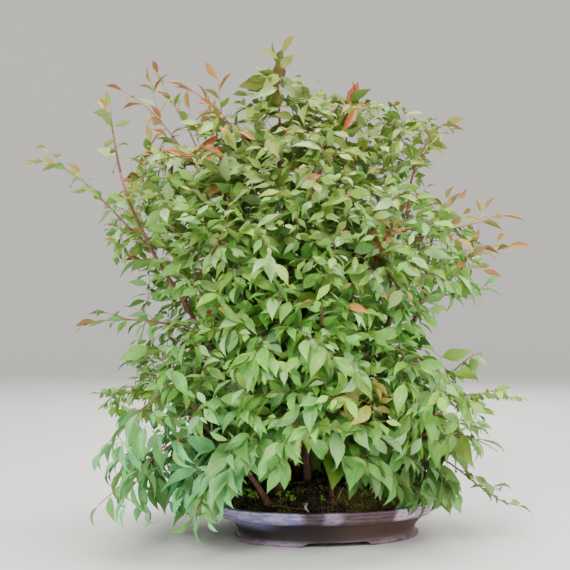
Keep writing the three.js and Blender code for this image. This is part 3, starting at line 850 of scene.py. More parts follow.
def plan_leader(stem, tip, habit):
    """The shoot that goes on from a stem's top to its tip."""
    tip = np.array(tip, float)
    end = stem.curve.at(1)
    heading = stem.curve.heading(1)
    span = np.linalg.norm(tip - end)
    start = end + heading * JOINT_GAP
    first = start + heading * LEADER_LEAVES * span
    second = tip + (first - tip) * LEADER_ARRIVES + UP * LEADER_ARCH * span
    radius_at = tapering(float(stem.radius_at(1)), LIMB_TAPER)
    look = "open" if habit == "top" else habit
    shoot = Wood(Bend(start, first, second, tip), 0, 1, SHOOT_RINGS, radius_at, habit, look)
    shoot.row = samples(shoot, 0)
    return shoot


def plan_shoots(stems, chance):
    """The leading shoots, and every limb as a bough of its stem with a shoot on its end."""
    rows = [(stem, stem.row) for stem in stems]
    shoots = []
    for stem, (_, _, tip, _, habit) in zip(stems, STEMS):
        shoot = plan_leader(stem, tip, habit)
        shoots.append(shoot)
        rows.append((shoot, shoot.row))
    limbs = EDGE_LIMBS + fill_limbs(stems, chance)
    for order, (number, height, tip, habit) in enumerate(limbs):
        stem = stems[number]
        look = LIMB_LOOKS.get(order, habit)
        leave = share_at_height(stem.curve, height)
        start = point_on_wood(stem, leave)
        thick = min(BOUGH_RADIUS_RATIO * float(stem.radius_at(leave)), BOUGH_RADIUS_MOST)
        radius_at = tapering(thick, LIMB_TAPER)
        for bow in bows():
            curve = limb_curve(start, np.array(tip, float), HABITS[habit]["pitch"], bow)
            bough = Wood(curve, 0, FORK, BOUGH_RINGS, radius_at, habit)
            begin = FORK + JOINT_GAP / curve.length()
            shoot = Wood(curve, begin, 1, SHOOT_RINGS, radius_at, habit, look)
            outer = samples(shoot, begin)
            row = np.vstack([samples(bough, BOUGH_FREE_FROM), outer])
            free = all(is_clear(row, other) for owner, other in rows if owner is not stem)
            if free and is_clear(outer, stem.row):
                stem.parts.append(bough)
                shoot.row = row
                shoots.append(shoot)
                rows.append((shoot, row))
                break
    return shoots, rows


def plan_twigs(shoots, rows, chance):
    """Side twigs, alternately left and right on each shoot."""
    for shoot in shoots:
        ends = shoot.curve.at([shoot.start, 1])
        length = np.linalg.norm(ends[1] - ends[0])
        hang = HABITS[shoot.habit]["hang"]
        for i in range(TWIGS_PER_SHOOT):
            along = FIRST_TWIG + TWIG_SPACING * i + chance.draw(-TWIG_SHIFT, TWIG_SHIFT)
            share = shoot.start + (1 - shoot.start) * along
            start = point_on_wood(shoot, share)
            heading = shoot.curve.heading(share)
            side = side_of(heading) * (1 if i % 2 == 0 else -1)
            reach = length * chance.draw(*TWIG_REACH)
            for lift in TWIG_LIFTS:
                aim = unit(heading * TWIG_FORWARD + side * TWIG_ASIDE + UP * (TWIG_UP + lift))
                tip = start + aim * reach + UP * reach * TWIG_HANG * hang
                first = start + aim * TWIG_STARTS * reach
                curve = Bend(start, first, start + aim * TWIG_ARRIVES * reach, tip)
                thick = TWIG_RADIUS_RATIO * float(shoot.radius_at(share))
                twig = Wood(curve, 0, 1, 1, tapering(thick, 1), shoot.habit, shoot.look)
                row = samples(twig, TWIG_FREE_FROM)
                if all(is_clear(row, other) for owner, other in rows if owner is not shoot):
                    shoot.parts.append(twig)
                    rows.append((twig, row))
                    break


# What grows on the plan: finer twigs, drawn to points all over the crown, and leaves

# The camera stands to the left, so a point is seen this much further left for each unit of depth
SIGHT_SLANT = 0.167

# The leafy crown: its half depth beside the plan's half width, and its ragged lower edge
LEAFY_DEPTH_RATIO = 0.76
DEPTH_HIGHEST = 640
LEAST_HALF_DEPTH = 20
RAGGED = 20
BACK_LOWEST = 16

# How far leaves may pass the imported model's box, in metres, and the room they leave over the pot
CROWN_MARGIN = 0.007
OVER_SOIL = 4
RIM_FROM = 0.9
ROUND_POT = 1.05

# Twig tips: the box where they are tried, how far out they may lie, and how far apart they stay
TIPS_LOW = np.array([-330, -240, 50])
TIPS_HIGH = np.array([275, 245, 655])
TIPS_OUTERMOST = 0.94
TIPS_CLOUD = 0.3
TIPS_OVER_LEAVES = 22
CLOUD_SIZE = 62
APART_INSIDE = 1.15
APART_OUTWARD = 0.2
APART_CLOUD = 0.35
CLOSER_BEHIND = 0.36
THIN_LOW_LEFT = 0.9
THIN_LEFT = 0.12

# A twig to a tip: which wood it starts from, how it leaves and arrives, and its girth. In
# GIRTH_BY_SPAN and TWIG_AGES the second value is what the span or the share adds.
WOOD_SPACING = 6
LEAST_GIRTH = 0.35
SIDEWAYS_COST = 1.3
FORWARD_GAIN = 0.45
LOW_WOOD = 95
LOW_WOOD_COST = 30
TWIG_SPANS = (14, 150)
FINE_SPAN = 70
YOUNG_SPAN = 50
YOUNG_FROM = 0.85
LEAVES_TO_TIP = 0.7
LEAVES_FORWARD = 0.45
LEAVES_UP = 0.25
LEAVES_BY = 0.36
ARRIVES_BY = 0.3
ARRIVES_PITCH = 0.6
PITCH_CHANCE = 0.2
TWIG_STEP = 9
TIP_GIRTH = 0.26
TWIG_LEAST_GIRTH = 0.42
GIRTH_OF_WOOD = 0.62
GIRTH_BY_SPAN = (0.5, 0.011)
TWIG_AGES = (0.35, 0.5)
SHORT_TWIG = 28
TOP_TWIGS_FROM = 400
MIDDLE_TWIGS_FROM = 165

# How young wood is at its start and end, and from which share of its length it bears leaves
STEM_AGES = (0, 0.3)
SHOOT_AGES = (0.55, 1)
NO_LEAVES = 2
YOUNG_LEAFY_FROM = 0.38
SHOOT_LEAFY_FROM = 0.15
TWIG_LEAFY_FROM = 0.12

# A leaf on its twig: spacing, aim, turn and size. In GAP_BY_GRADE and AIM_FORWARD the second
# value is what the grade or the share along the twig adds.
GAP_BY_GRADE = (0.3, 0.7)
PLACE_CHANCE = 0.4
LEANS = (-0.85, 0.5)
AIM_FORWARD = (0.55, 0.35)
AIM_OUTWARD = 0.25
AIM_CHANCE = 0.24
LAST_FORWARD = 2.2
LAST_ASIDE = 0.25
FACE_CHANCE = 0.5
SHRINKS_AT_TIP = 0.3
GROWS_INSIDE = 0.3
TRIMS = (1, 0.8, 0.64)

# Heights over which leaves may be young or tinged, and what decides the form of a blade
OUTER_YOUNG_FROM = 300
OPEN_YOUNG_FROM = 420
TINGED_FROM = 360
TINGE = 0.14
INNER_WITHIN = 0.56
YOUNG_OVER = 0.4
HANGING_OVER = 0.45
MIDDLE_UNDER = 300

# How much painted shade darkens the leaves low over the soil, in front of the pot and beside it
SHADE_HALF_WIDTH = 150
SHADE_OVER_POT = 2.3
SHADE_ASIDE = 1.2

# Parts of the crown that look otherwise. For x (0), y (1) or the height (2) a pair of places
# says where the part begins and where it is full.
ZONES = {
    "back": {1: (5, 80)},
    "low_back": {1: (-10, 40), 2: (150, 110)},
    "shaded_back": {1: (0, 60), 2: (190, 110)},
    "thin_low_left": {0: (-140, -220), 2: (190, 155)},
    "thin_left": {0: (-190, -250), 2: (420, 350)},
    "under_top": {2: (590, 410)},
    "low": {2: (200, 110)},
    "over_pot": {2: (175, 115)},
    "low_left": {0: (-60, -210), 2: (235, 150)},
    "left_side": {0: (-160, -230), 2: (440, 400)},
    "low_right": {0: (100, 170), 2: (300, 240)},
}


def in_zone(name, point):
    """How far inside a part of the crown a point is, from 0 to 1."""
    return math.prod(smooth(point[axis], *reach) for axis, reach in ZONES[name].items())


@dataclass
class Sprig:
    """Visible wood of one piece: points, their girths and how young each is."""

    piece: str
    points: np.ndarray
    girths: np.ndarray
    young: np.ndarray
    look: str
    leafy_from: float


def sprig_on(wood, piece, young, leafy_from):
    """The visible wood of a planned length of wood."""
    count = max(3, math.ceil(wood.curve.length() * (wood.end - wood.start) / WOOD_SPACING))
    shares = np.linspace(wood.start, wood.end, count + 1)
    girths = np.maximum(wood.radius_at(shares), LEAST_GIRTH)
    ages = np.linspace(young[0], young[1], count + 1)
    look = wood.look or wood.habit
    return Sprig(piece, wood.curve.at(shares), girths, ages, look, leafy_from)


def crown_share(point):
    """How far out a point is: 0 on the crown's axis, and 1 at its outside."""
    left, right = (between(CROWN_SIDES, point[2], k) for k in (1, 2))
    half_depth = LEAFY_DEPTH_RATIO * crown_half_width(min(point[2], DEPTH_HIGHEST))
    x = (point[0] - (left + right) / 2) / ((right - left) / 2)
    y = (point[1] - CROWN_Y) / max(half_depth, LEAST_HALF_DEPTH)
    return math.hypot(x, y)


def lowest_leaf(point):
    """The height under which no leaf hangs: high over the pot in front, and low behind."""
    x = point[0] - SIGHT_SLANT * min(point[1], 0)
    ragged = RAGGED * noise.noise(Vector((point[0] / 22, point[1] / 40, 3)))
    behind = in_zone("back", point)
    return (between(LOWEST_LEAVES, x) + ragged) * (1 - behind) + BACK_LOWEST * behind


def thinness(point):
    """How much further apart the twigs end low on the left and along the left side."""
    low = in_zone("thin_low_left", point)
    side = in_zone("thin_left", point)
    return 1 + THIN_LOW_LEFT * low + THIN_LEFT * side


def crown_points(settings, rng):
    """Points all over the crown, closer together near its outside."""
    kept = np.zeros((0, 3))
    points = []
    for _ in range(settings.tries):
        point = TIPS_LOW + (TIPS_HIGH - TIPS_LOW) * rng.random(3)
        share = crown_share(point)
        cloud = noise.noise(Vector(point / CLOUD_SIZE)) * 0.5
        too_far = share > TIPS_OUTERMOST + cloud * TIPS_CLOUD
        if too_far or point[2] < lowest_leaf(point) + TIPS_OVER_LEAVES:
            continue
        apart = APART_INSIDE - APART_OUTWARD * share - cloud * APART_CLOUD
        apart = settings.spread * apart * thinness(point)
        apart *= 1 - CLOSER_BEHIND * in_zone("low_back", point)
        if len(points) and (np.linalg.norm(kept - point, axis=1) < apart).any():
            continue
        points.append(point)
        kept = np.array(points)
    return points


def grow_twigs(sprigs, points, rng):
    """Draws a twig to each point from wood near it, nearest points first."""
    spots = np.vstack([s.points for s in sprigs])
    heads = np.vstack([unit(np.gradient(s.points, axis=0)) for s in sprigs])
    girths = np.concatenate([s.girths for s in sprigs])
    owners = [s for s in sprigs for _ in s.points]
    order = sorted(points, key=lambda p: np.linalg.norm(spots - p, axis=1).min())
    for point in order:
        gaps = point - spots
        far = np.linalg.norm(gaps, axis=1)
        forward = (gaps * heads).sum(axis=1) / np.maximum(far, 1)
        cost = far * (SIDEWAYS_COST - FORWARD_GAIN * forward)
        best = int(np.argmin(cost + LOW_WOOD_COST * (spots[:, 2] < LOW_WOOD)))
        span = far[best]
        if not TWIG_SPANS[0] <= span <= TWIG_SPANS[1]:
            continue
        parent = owners[best]
        start = spots[best]
        look = look_at(point[2])
        if span < FINE_SPAN and parent.look == "fine":
            look = "fine"
        elif span < YOUNG_SPAN and parent.look == "young" and crown_share(point) > YOUNG_FROM:
            look = "young"
        level = level_way(gaps[best])
        straight = gaps[best] / span * LEAVES_TO_TIP
        leaving = unit(straight + heads[best] * LEAVES_FORWARD + UP * LEAVES_UP)
        pitch = ARRIVES_PITCH * HABITS[look]["pitch"] + rng.uniform(-PITCH_CHANCE, PITCH_CHANCE)
        arriving = unit(level + UP * pitch)
        first = start + leaving * LEAVES_BY * span
        curve = Bend(start, first, point - arriving * ARRIVES_BY * span, point)
        most = GIRTH_BY_SPAN[0] + GIRTH_BY_SPAN[1] * span
        thick = max(TWIG_LEAST_GIRTH, min(GIRTH_OF_WOOD * girths[best], most))
        shares = np.linspace(0, 1, max(4, math.ceil(span / TWIG_STEP)) + 1)
        grown = Sprig(
            parent.piece, curve.at(shares), thick + (TIP_GIRTH - thick) * shares,
            TWIG_AGES[0] + TWIG_AGES[1] * shares, look, 0.2 if span > SHORT_TWIG else 0.1,
        )
        sprigs.append(grown)
        spots = np.vstack([spots, grown.points])
        heads = np.vstack([heads, curve.heading(shares)])
        girths = np.concatenate([girths, grown.girths])
        owners += [grown] * len(shares)


def look_at(height):
    """How twigs look at a height where nothing else decides it."""
    if height > TOP_TWIGS_FROM:
        return "top"
    return "mid" if height > MIDDLE_TWIGS_FROM else "low"


def level_way(gap):
    """The nearly level direction of a gap."""
    return unit(np.array([gap[0], gap[1], 0.01]))


@dataclass
class Leaf:
    """One leaf: its place, turn, length, form, and what its colour depends on."""

    at: np.ndarray
    turn: object
    size: float
    form: int
    colour: dict


def turn_to(aim, outward, share, rng):
    """The turn that lays a blade along aim, with its upper side up and outward."""
    aim = unit(aim)
    face = unit(UP * (1 - 0.5 * share) + outward * share + rng.normal(0, FACE_CHANCE, 3))
    face = unit(face - aim * face.dot(aim))
    across = np.cross(face, aim)
    return Matrix(np.column_stack([aim, across, face]).tolist()).to_quaternion(), aim


def within_crown_box(point):
    """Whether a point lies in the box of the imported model, or just outside it."""
    spot = (point + POT_MIDDLE) * MM
    return all(
        low - CROWN_MARGIN < place < high + CROWN_MARGIN
        for low, place, high in zip(CAD_LOW, spot, CAD_HIGH)
    )


def in_pot(point):
    """Whether a point lies in the pot or the soil, or just over them."""
    radius = math.hypot(point[0] / POT_HALF_WIDTH, point[1] / POT_HALF_DEPTH)
    top = POT_HEIGHT if radius > RIM_FROM else mound_height(point[0], point[1])
    return radius < ROUND_POT and point[2] < top + OVER_SOIL


def leaves_on(sprig, settings, rng):
    """Alternate leaves along a sprig, with one at its tip."""
    look = FOLIAGE[sprig.look]
    steps = np.linalg.norm(np.diff(sprig.points, axis=0), axis=1)
    reach = np.concatenate([[0], np.cumsum(steps)])
    heads = unit(np.gradient(sprig.points, axis=0))
    grade = rng.choice(GRADES) if sprig.look in ("top", "mid") else 1
    closeness = GAP_BY_GRADE[0] + GAP_BY_GRADE[1] * grade
    gap = sum(look["blade"]) / 2 * look["gap"] * settings.leaf_gap * closeness
    end = reach[-1]
    start = end * sprig.leafy_from
    count = max(2, round((end - start) / gap))
    left = rng.random() < 0.5
    lean = rng.uniform(*LEANS)
    leaves = []
    for i in range(count + 1):
        last = i == count
        place = end if last else start + (end - start) * (i + rng.uniform(0, PLACE_CHANCE)) / count
        spot = np.array([np.interp(place, reach, sprig.points[:, k]) for k in range(3)])
        head = heads[min(int(np.searchsorted(reach, place)), len(heads) - 1)]
        side = side_of(head) * (1 if (i % 2 == 0) == left else -1)
        share = place / end
        outward = level_way(spot - (CROWN_X, CROWN_Y, 0))
        forward = LAST_FORWARD if last else AIM_FORWARD[0] + AIM_FORWARD[1] * share
        aim = head * forward + side * (LAST_ASIDE if last else 1) + UP * (look["lift"] + lean)
        aim = unit(unit(aim) + outward * AIM_OUTWARD + rng.normal(0, AIM_CHANCE, 3))
        turn, aim = turn_to(aim, outward, look["outward"], rng)
        shrink = 0 if sprig.look in ("young", "open") else SHRINKS_AT_TIP * smooth(share, 0.75, 1)
        within = 1 - smooth(crown_share(spot), 0.5, 0.75)
        size = rng.uniform(*look["blade"]) * grade * (1 - shrink) * settings.leaf_size
        size *= 1 + GROWS_INSIDE * within
        part = next((trim for trim in TRIMS if has_room(spot + aim * size * trim, sprig)), 0)
        if part:
            leaves.append(Leaf(spot, turn, size * part, *looks(spot, sprig, share, rng)))
    return leaves


def has_room(tip, sprig):
    """Whether a leaf may end at a point."""
    low = tip[2] < lowest_leaf(tip) and sprig.look != "open"
    return within_crown_box(tip) and not in_pot(tip) and not low


def youth_of(spot, sprig, share, edge, rng):
    """How young a leaf is: most on young shoots, then at the top and in a few clumps."""
    youth = 0.0
    if sprig.look == "young":
        youth = smooth(share, 0.25, 0.8) * rng.uniform(0.55, 1)
    elif spot[2] > OUTER_YOUNG_FROM and edge > 0.8 and rng.random() < 0.3:
        youth = smooth(share, 0.6, 0.95) * rng.uniform(0.3, 0.9)
    elif spot[2] > OPEN_YOUNG_FROM and sprig.look == "open":
        youth = share * rng.uniform(0, 0.7)
    elif spot[2] > TINGED_FROM:
        youth = TINGE * rng.random()
    for x, height, clump, age in YOUNG_CLUMPS:
        near = math.hypot(spot[0] - SIGHT_SLANT * spot[1] - x, spot[2] - height) < clump
        if near and spot[1] < FRONT_OF_CROWN and edge > 0.5:
            youth = max(youth, age * rng.uniform(0.6, 1))
    return youth


def kind_of(spot, sprig, edge, youth, bloom):
    """Which forms of blade a leaf may have."""
    if sprig.look == "fine":
        return "small"
    if edge < INNER_WITHIN:
        return "inner"
    if youth > YOUNG_OVER:
        return "young"
    if bloom > HANGING_OVER:
        return "hanging"
    if sprig.look == "low":
        return "low"
    return "middle" if spot[2] < MIDDLE_UNDER else "top"


def looks(spot, sprig, share, rng):
    """The form of a leaf and what its colour depends on."""
    edge = crown_share(spot)
    low_left = in_zone("low_left", spot)
    bloom = max(low_left, 0.1 * in_zone("low", spot))
    youth = youth_of(spot, sprig, share, edge, rng)
    lush = in_zone("under_top", spot) * rng.uniform(0.7, 1)
    tone = rng.random()
    if youth > 0.5:
        tone = 0.45 + 0.55 * tone
    if sprig.look == "fine":
        lush, bloom, tone = 0.2, 0.0, rng.uniform(0.72, 1)
    # Painted shade: inside darkens leaves deep in the crown and low at its back, and shade darkens
    # some leaves low over the pot and along the left side, at random
    inside = max(1 - smooth(edge, 0.35, 0.85), in_zone("shaded_back", spot))
    depth = SHADE_OVER_POT if abs(spot[0]) < SHADE_HALF_WIDTH else SHADE_ASIDE
    shade = in_zone("over_pot", spot) * (1 - low_left) * depth * rng.random() ** 0.45
    left_side = in_zone("left_side", spot) * (1 - low_left)
    shade = max(shade, left_side * rng.uniform(0.2, 1))
    lush = max(lush, left_side * 0.9)
    lush *= 1 - in_zone("low_right", spot) * rng.uniform(0.6, 1)
    colour = {
        "tone": tone, "youth": youth, "bloom": bloom, "lush": lush, "inside": max(inside, shade),
    }
    forms = FORMS_FOR[kind_of(spot, sprig, edge, youth, bloom)]
    return int(rng.choice(forms)), colour


@functools.lru_cache(maxsize=1)
def planned():
    """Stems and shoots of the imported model, with their boughs and twigs."""
    chance = Chance(PLAN_SEED)
    stems = plan_stems()
    shoots, rows = plan_shoots(stems, chance)
    plan_twigs(shoots, rows, chance)
    return stems, shoots


def grown(settings):
    """Every sprig and leaf, by the piece that it belongs to."""
    rng = np.random.default_rng(settings.seed)
    stems, shoots = planned()
    sprigs = []
    for i, stem in enumerate(stems):
        for wood in [stem, *stem.parts]:
            sprigs.append(sprig_on(wood, f"inner_{i + 1:02d}", STEM_AGES, NO_LEAVES))
    for i, shoot in enumerate(shoots):
        piece = f"spray_{i + 1:02d}"
        leafy_from = YOUNG_LEAFY_FROM if shoot.look == "young" else SHOOT_LEAFY_FROM
        sprigs.append(sprig_on(shoot, piece, SHOOT_AGES, leafy_from))
        sprigs += [sprig_on(twig, piece, SHOOT_AGES, TWIG_LEAFY_FROM) for twig in shoot.parts]
    bare = sum(1 + len(stem.parts) for stem in stems)
    grow_twigs(sprigs, crown_points(settings, rng), rng)
    pieces = {}
    for sprig in sprigs[bare:]:
        lines, leaves = pieces.setdefault(sprig.piece, ([], []))
        lines.append(sprig)
        leaves += leaves_on(sprig, settings, rng)
    return pieces


# Meshes

def new_mesh(name, points, faces, edges=()):
    """A mesh from points in millimetres round the pot's middle."""
    mesh = bpy.data.meshes.new(name)
    spots = (np.asarray(points, float) + POT_MIDDLE) * MM
    mesh.from_pydata(spots.tolist(), list(edges), [list(face) for face in faces])
    mesh.update()
    return mesh


def store(mesh, name, values, kind="FLOAT"):
    """Keeps a value for each point of a mesh."""
    mesh.attributes.new(name, kind, "POINT").data.foreach_set("value", values)


def smoothed(mesh):
    """The mesh, shaded smooth."""
    mesh.polygons.foreach_set("use_smooth", [True] * len(mesh.polygons))
    return mesh


def closed_outward(mesh):
    """The mesh with its faces turned outward, shaded smooth."""
    made = bmesh.new()
    made.from_mesh(mesh)
    bmesh.ops.recalc_face_normals(made, faces=made.faces)
    return smoothed(finished(made, mesh))


def finished(made, mesh):
    """The mesh with what was made in a bmesh."""
    made.to_mesh(mesh)
    made.free()
    return mesh


def discard(thing):
    """Removes an object and its mesh."""
    mesh = thing.data
    bpy.data.objects.remove(thing)
    bpy.data.meshes.remove(mesh)


def oval(radius, spokes, ratio=1.0, turn=0.0):
    """Places round an oval, from its right end on."""
    for k in range(spokes):
        angle = 2 * math.pi * (k + turn) / spokes
        yield radius * math.cos(angle), ratio * radius * math.sin(angle)


def bands(first, rings, sides):
    """The corners of the faces between rings of points that follow one another."""
    for i in range(rings - 1):
        low, high = first + i * sides, first + (i + 1) * sides
        for k in range(sides):
            j = (k + 1) % sides
            yield low + k, low + j, high + j, high + k


def disc_faces(rings, spokes):
    """Faces round a middle point and over the rings of points that follow it."""
    faces = [(0, 1 + k, 1 + (k + 1) % spokes) for k in range(spokes)]
    return faces + [(a, d, c, b) for a, b, c, d in bands(1, rings, spokes)]


def add_piece(name, mesh, stands_for=(), material=None):
    """Puts a finished mesh into the scene as a piece that rides on the root."""
    if material is not None:
        mesh.materials.clear()
        mesh.materials.append(material)
    old = bpy.data.objects.get(name)
    if old is not None:
        bpy.data.objects.remove(old)
    piece = bpy.data.objects.new(name, mesh)
    bpy.context.scene.collection.objects.link(piece)
    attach(piece, "root")
    if stands_for:
        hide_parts(*stands_for)


def run_tree(name, mesh, tree, values):
    """Runs a geometry tree on a mesh, and gives back what it makes as a plain mesh."""
    holder = bpy.data.objects.new(name, mesh)
    modifier = holder.modifiers.new(tree.name, "NODES")
    modifier.node_group = tree
    sockets = {
        item.name: item.identifier
        for item in tree.interface.items_tree
        if item.item_type == "SOCKET" and item.in_out == "INPUT"
    }
    for key, value in values.items():
        modifier[sockets[key]] = value
    bpy.context.scene.collection.objects.link(holder)
    graph = bpy.context.evaluated_depsgraph_get()
    made = bpy.data.meshes.new_from_object(
        holder.evaluated_get(graph), preserve_all_data_layers=True, depsgraph=graph
    )
    holder.modifiers.clear()
    discard(holder)
    return made


def new_tree(name, inputs):
    """An empty geometry tree with named inputs, and the values of those inputs."""
    tree = bpy.data.node_groups.new(name, "GeometryNodeTree")
    tree.interface.new_socket("Geometry", in_out="INPUT", socket_type="NodeSocketGeometry")
    for key, kind, default in inputs:
        socket = tree.interface.new_socket(key, in_out="INPUT", socket_type=kind)
        if default is not None:
            socket.default_value = default
    tree.interface.new_socket("Geometry", in_out="OUTPUT", socket_type="NodeSocketGeometry")
    graph = Graph(tree)
    entry = graph.node("NodeGroupInput")
    given = {socket.name: Field(graph, socket) for socket in entry.outputs if socket.name}
    return tree, graph, given


def named(graph, name, kind="FLOAT"):
    """A value kept for each point of the geometry."""
    settings = {"data_type": kind}
    return graph.field("GeometryNodeInputNamedAttribute", settings, {"Name": name})


SIZE_CHANCE = 0.06


def clad(graph, geometry, material):
    """The geometry, all in one material."""
    sockets = {"Geometry": geometry, "Material": material}
    return graph.field("GeometryNodeSetMaterial", None, sockets)


def spray_tree():
    """Twigs as tubes along their lines, and a blade on each point that carries a leaf."""
    tree, graph, given = new_tree("leafy_spray", [
        ("Blade forms", "NodeSocketCollection", None),
        ("Leaf material", "NodeSocketMaterial", None),
        ("Bark material", "NodeSocketMaterial", None),
        ("Twig sides", "NodeSocketInt", 5),
        ("Size chance", "NodeSocketFloat", SIZE_CHANCE),
        ("Seed", "NodeSocketInt", 7),
    ])
    parted = graph.node(
        "GeometryNodeSeparateGeometry", {"domain": "POINT"},
        {"Geometry": given["Geometry"], "Selection": named(graph, "leafy", "BOOLEAN")},
    )
    lines = graph.field("GeometryNodeMeshToCurve", None, {0: Field(graph, parted.outputs[1])})
    ring = graph.field(
        "GeometryNodeCurvePrimitiveCircle", None,
        {"Resolution": given["Twig sides"], "Radius": MM},
    )
    twigs = graph.field(
        "GeometryNodeCurveToMesh", None,
        {"Curve": lines, "Profile Curve": ring, "Scale": named(graph, "girth"), "Fill Caps": True},
    )
    twigs = clad(graph, twigs, given["Bark material"])
    forms = graph.field(
        "GeometryNodeCollectionInfo", None,
        {"Collection": given["Blade forms"], "Separate Children": True, "Reset Children": True},
    )
    chance = graph.field(
        "FunctionNodeRandomValue", {"data_type": "FLOAT"},
        {2: 1 - given["Size chance"], 3: 1 + given["Size chance"], "Seed": given["Seed"]}, 1,
    )
    blades = graph.field(
        "GeometryNodeInstanceOnPoints", None,
        {
            "Points": Field(graph, parted.outputs[0]),
            "Instance": forms,
            "Pick Instance": True,
            "Instance Index": named(graph, "form", "INT"),
            "Rotation": named(graph, "turn", "QUATERNION"),
            "Scale": named(graph, "size") * chance,
        },
    )
    blades = graph.field("GeometryNodeRealizeInstances", None, {"Geometry": blades})
    blades = clad(graph, blades, given["Leaf material"])
    whole = graph.node("GeometryNodeJoinGeometry")
    for part in (blades, twigs):
        tree.links.new(part.socket, whole.inputs[0])
    graph.node("NodeGroupOutput", None, {"Geometry": Field(graph, whole.outputs[0])})
    return tree


def scatter_tree():
    """Small copies strewn over a surface, more where its weight is high."""
    tree, graph, given = new_tree("strewn_copies", [
        ("Copy", "NodeSocketObject", None),
        ("Material", "NodeSocketMaterial", None),
        ("Copies per square metre", "NodeSocketFloat", 100000.0),
        ("Least size", "NodeSocketFloat", 0.6),
        ("Most size", "NodeSocketFloat", 1.4),
        ("Seed", "NodeSocketInt", 3),
    ])
    strewn = graph.node(
        "GeometryNodeDistributePointsOnFaces", {"distribute_method": "RANDOM"},
        {
            "Mesh": given["Geometry"],
            "Density": given["Copies per square metre"] * named(graph, "weight"),
            "Seed": given["Seed"],
        },
    )
    spun = graph.field(
        "FunctionNodeRandomValue", {"data_type": "FLOAT_VECTOR"},
        {0: (-0.5, -0.5, 0), 1: (0.5, 0.5, 6.28), "Seed": given["Seed"]}, 0,
    )
    turn = graph.field("FunctionNodeEulerToRotation", None, {"Euler": spun})
    turn = graph.field(
        "FunctionNodeRotateRotation", {"rotation_space": "LOCAL"},
        {0: Field(graph, strewn.outputs["Rotation"]), 1: turn},
    )
    size = graph.field(
        "FunctionNodeRandomValue", {"data_type": "FLOAT"},
        {2: given["Least size"], 3: given["Most size"], "Seed": given["Seed"]}, 1,
    )
    form = graph.node(
        "GeometryNodeObjectInfo", {"transform_space": "ORIGINAL"}, {"Object": given["Copy"]}
    )
    copies = graph.field(
        "GeometryNodeInstanceOnPoints", None,
        {
            "Points": Field(graph, strewn.outputs["Points"]),
            "Instance": Field(graph, form.outputs["Geometry"]),
            "Rotation": turn,
            "Scale": size,
        },
    )
    copies = graph.field("GeometryNodeRealizeInstances", None, {"Geometry": copies})
    copies = clad(graph, copies, given["Material"])
    graph.node("NodeGroupOutput", None, {"Geometry": copies})
    return tree


# Fold, arch, curl of the tip, twist, wave and breadth of each form of blade
BLADE_FORMS = [
    (0.30, 0.20, 0.35, 0.05, 0.010, 0.38),
    (0.55, 0.15, 0.60, 0.25, 0.014, 0.31),
    (0.16, 0.05, 0.15, -0.22, 0.018, 0.42),
    (0.34, 0.40, 0.60, 0.12, 0.012, 0.37),
    (0.85, 0.10, 0.30, -0.35, 0.006, 0.30),
    (-0.10, 0.35, 0.50, 0.30, 0.022, 0.40),
    (0.45, 0.35, 1.30, -0.15, 0.016, 0.35),
    (0.60, 0.55, 1.40, -0.30, 0.020, 0.27),
    (0.50, 0.30, 1.00, 0.40, 0.026, 0.29),
    (0.30, 0.20, 0.30, 0.10, 0.010, 0.48),
    (0.20, 0.30, 0.20, -0.20, 0.010, 0.52),
    (0.30, 0.30, 0.40, 0.05, 0.010, 0.44),
]
FULL_FORMS = 9
FORMS_FOR = {
    "small": (9, 10),
    "inner": (11, 9),
    "young": (1, 4),
    "hanging": (3, 7, 7, 8, 8),
    "low": (3, 5, 6, 8),
    "middle": (0, 3, 5, 6),
    "top": (0, 1, 2, 3, 5),
}
FULL_STATIONS = [(0.16, 0.36), (0.3, 0.8), (0.46, 1), (0.63, 0.8), (0.79, 0.38), (0.91, 0.12)]
FULL_PARTS = (-1, -0.5, 0, 0.5, 1)
PLAIN_STATIONS = [(0.24, 0.78), (0.48, 1), (0.74, 0.52)]
PLAIN_PARTS = (-1, 0, 1)
BLADE_BASE = 0.08
STALK_HALF = 0.012
BLADE_THICK = 0.014
CURVE_STEPS = 40


def midrib(along, arch, curl):
    """Where the midrib passes, and the angle by which it has bent down there."""
    steps = (np.arange(CURVE_STEPS) + 0.5) / CURVE_STEPS * along
    bent = arch * steps + curl * steps**3
    x, z = np.cos(bent).mean() * along, -np.sin(bent).mean() * along
    return x, z, arch * along + curl * along**3


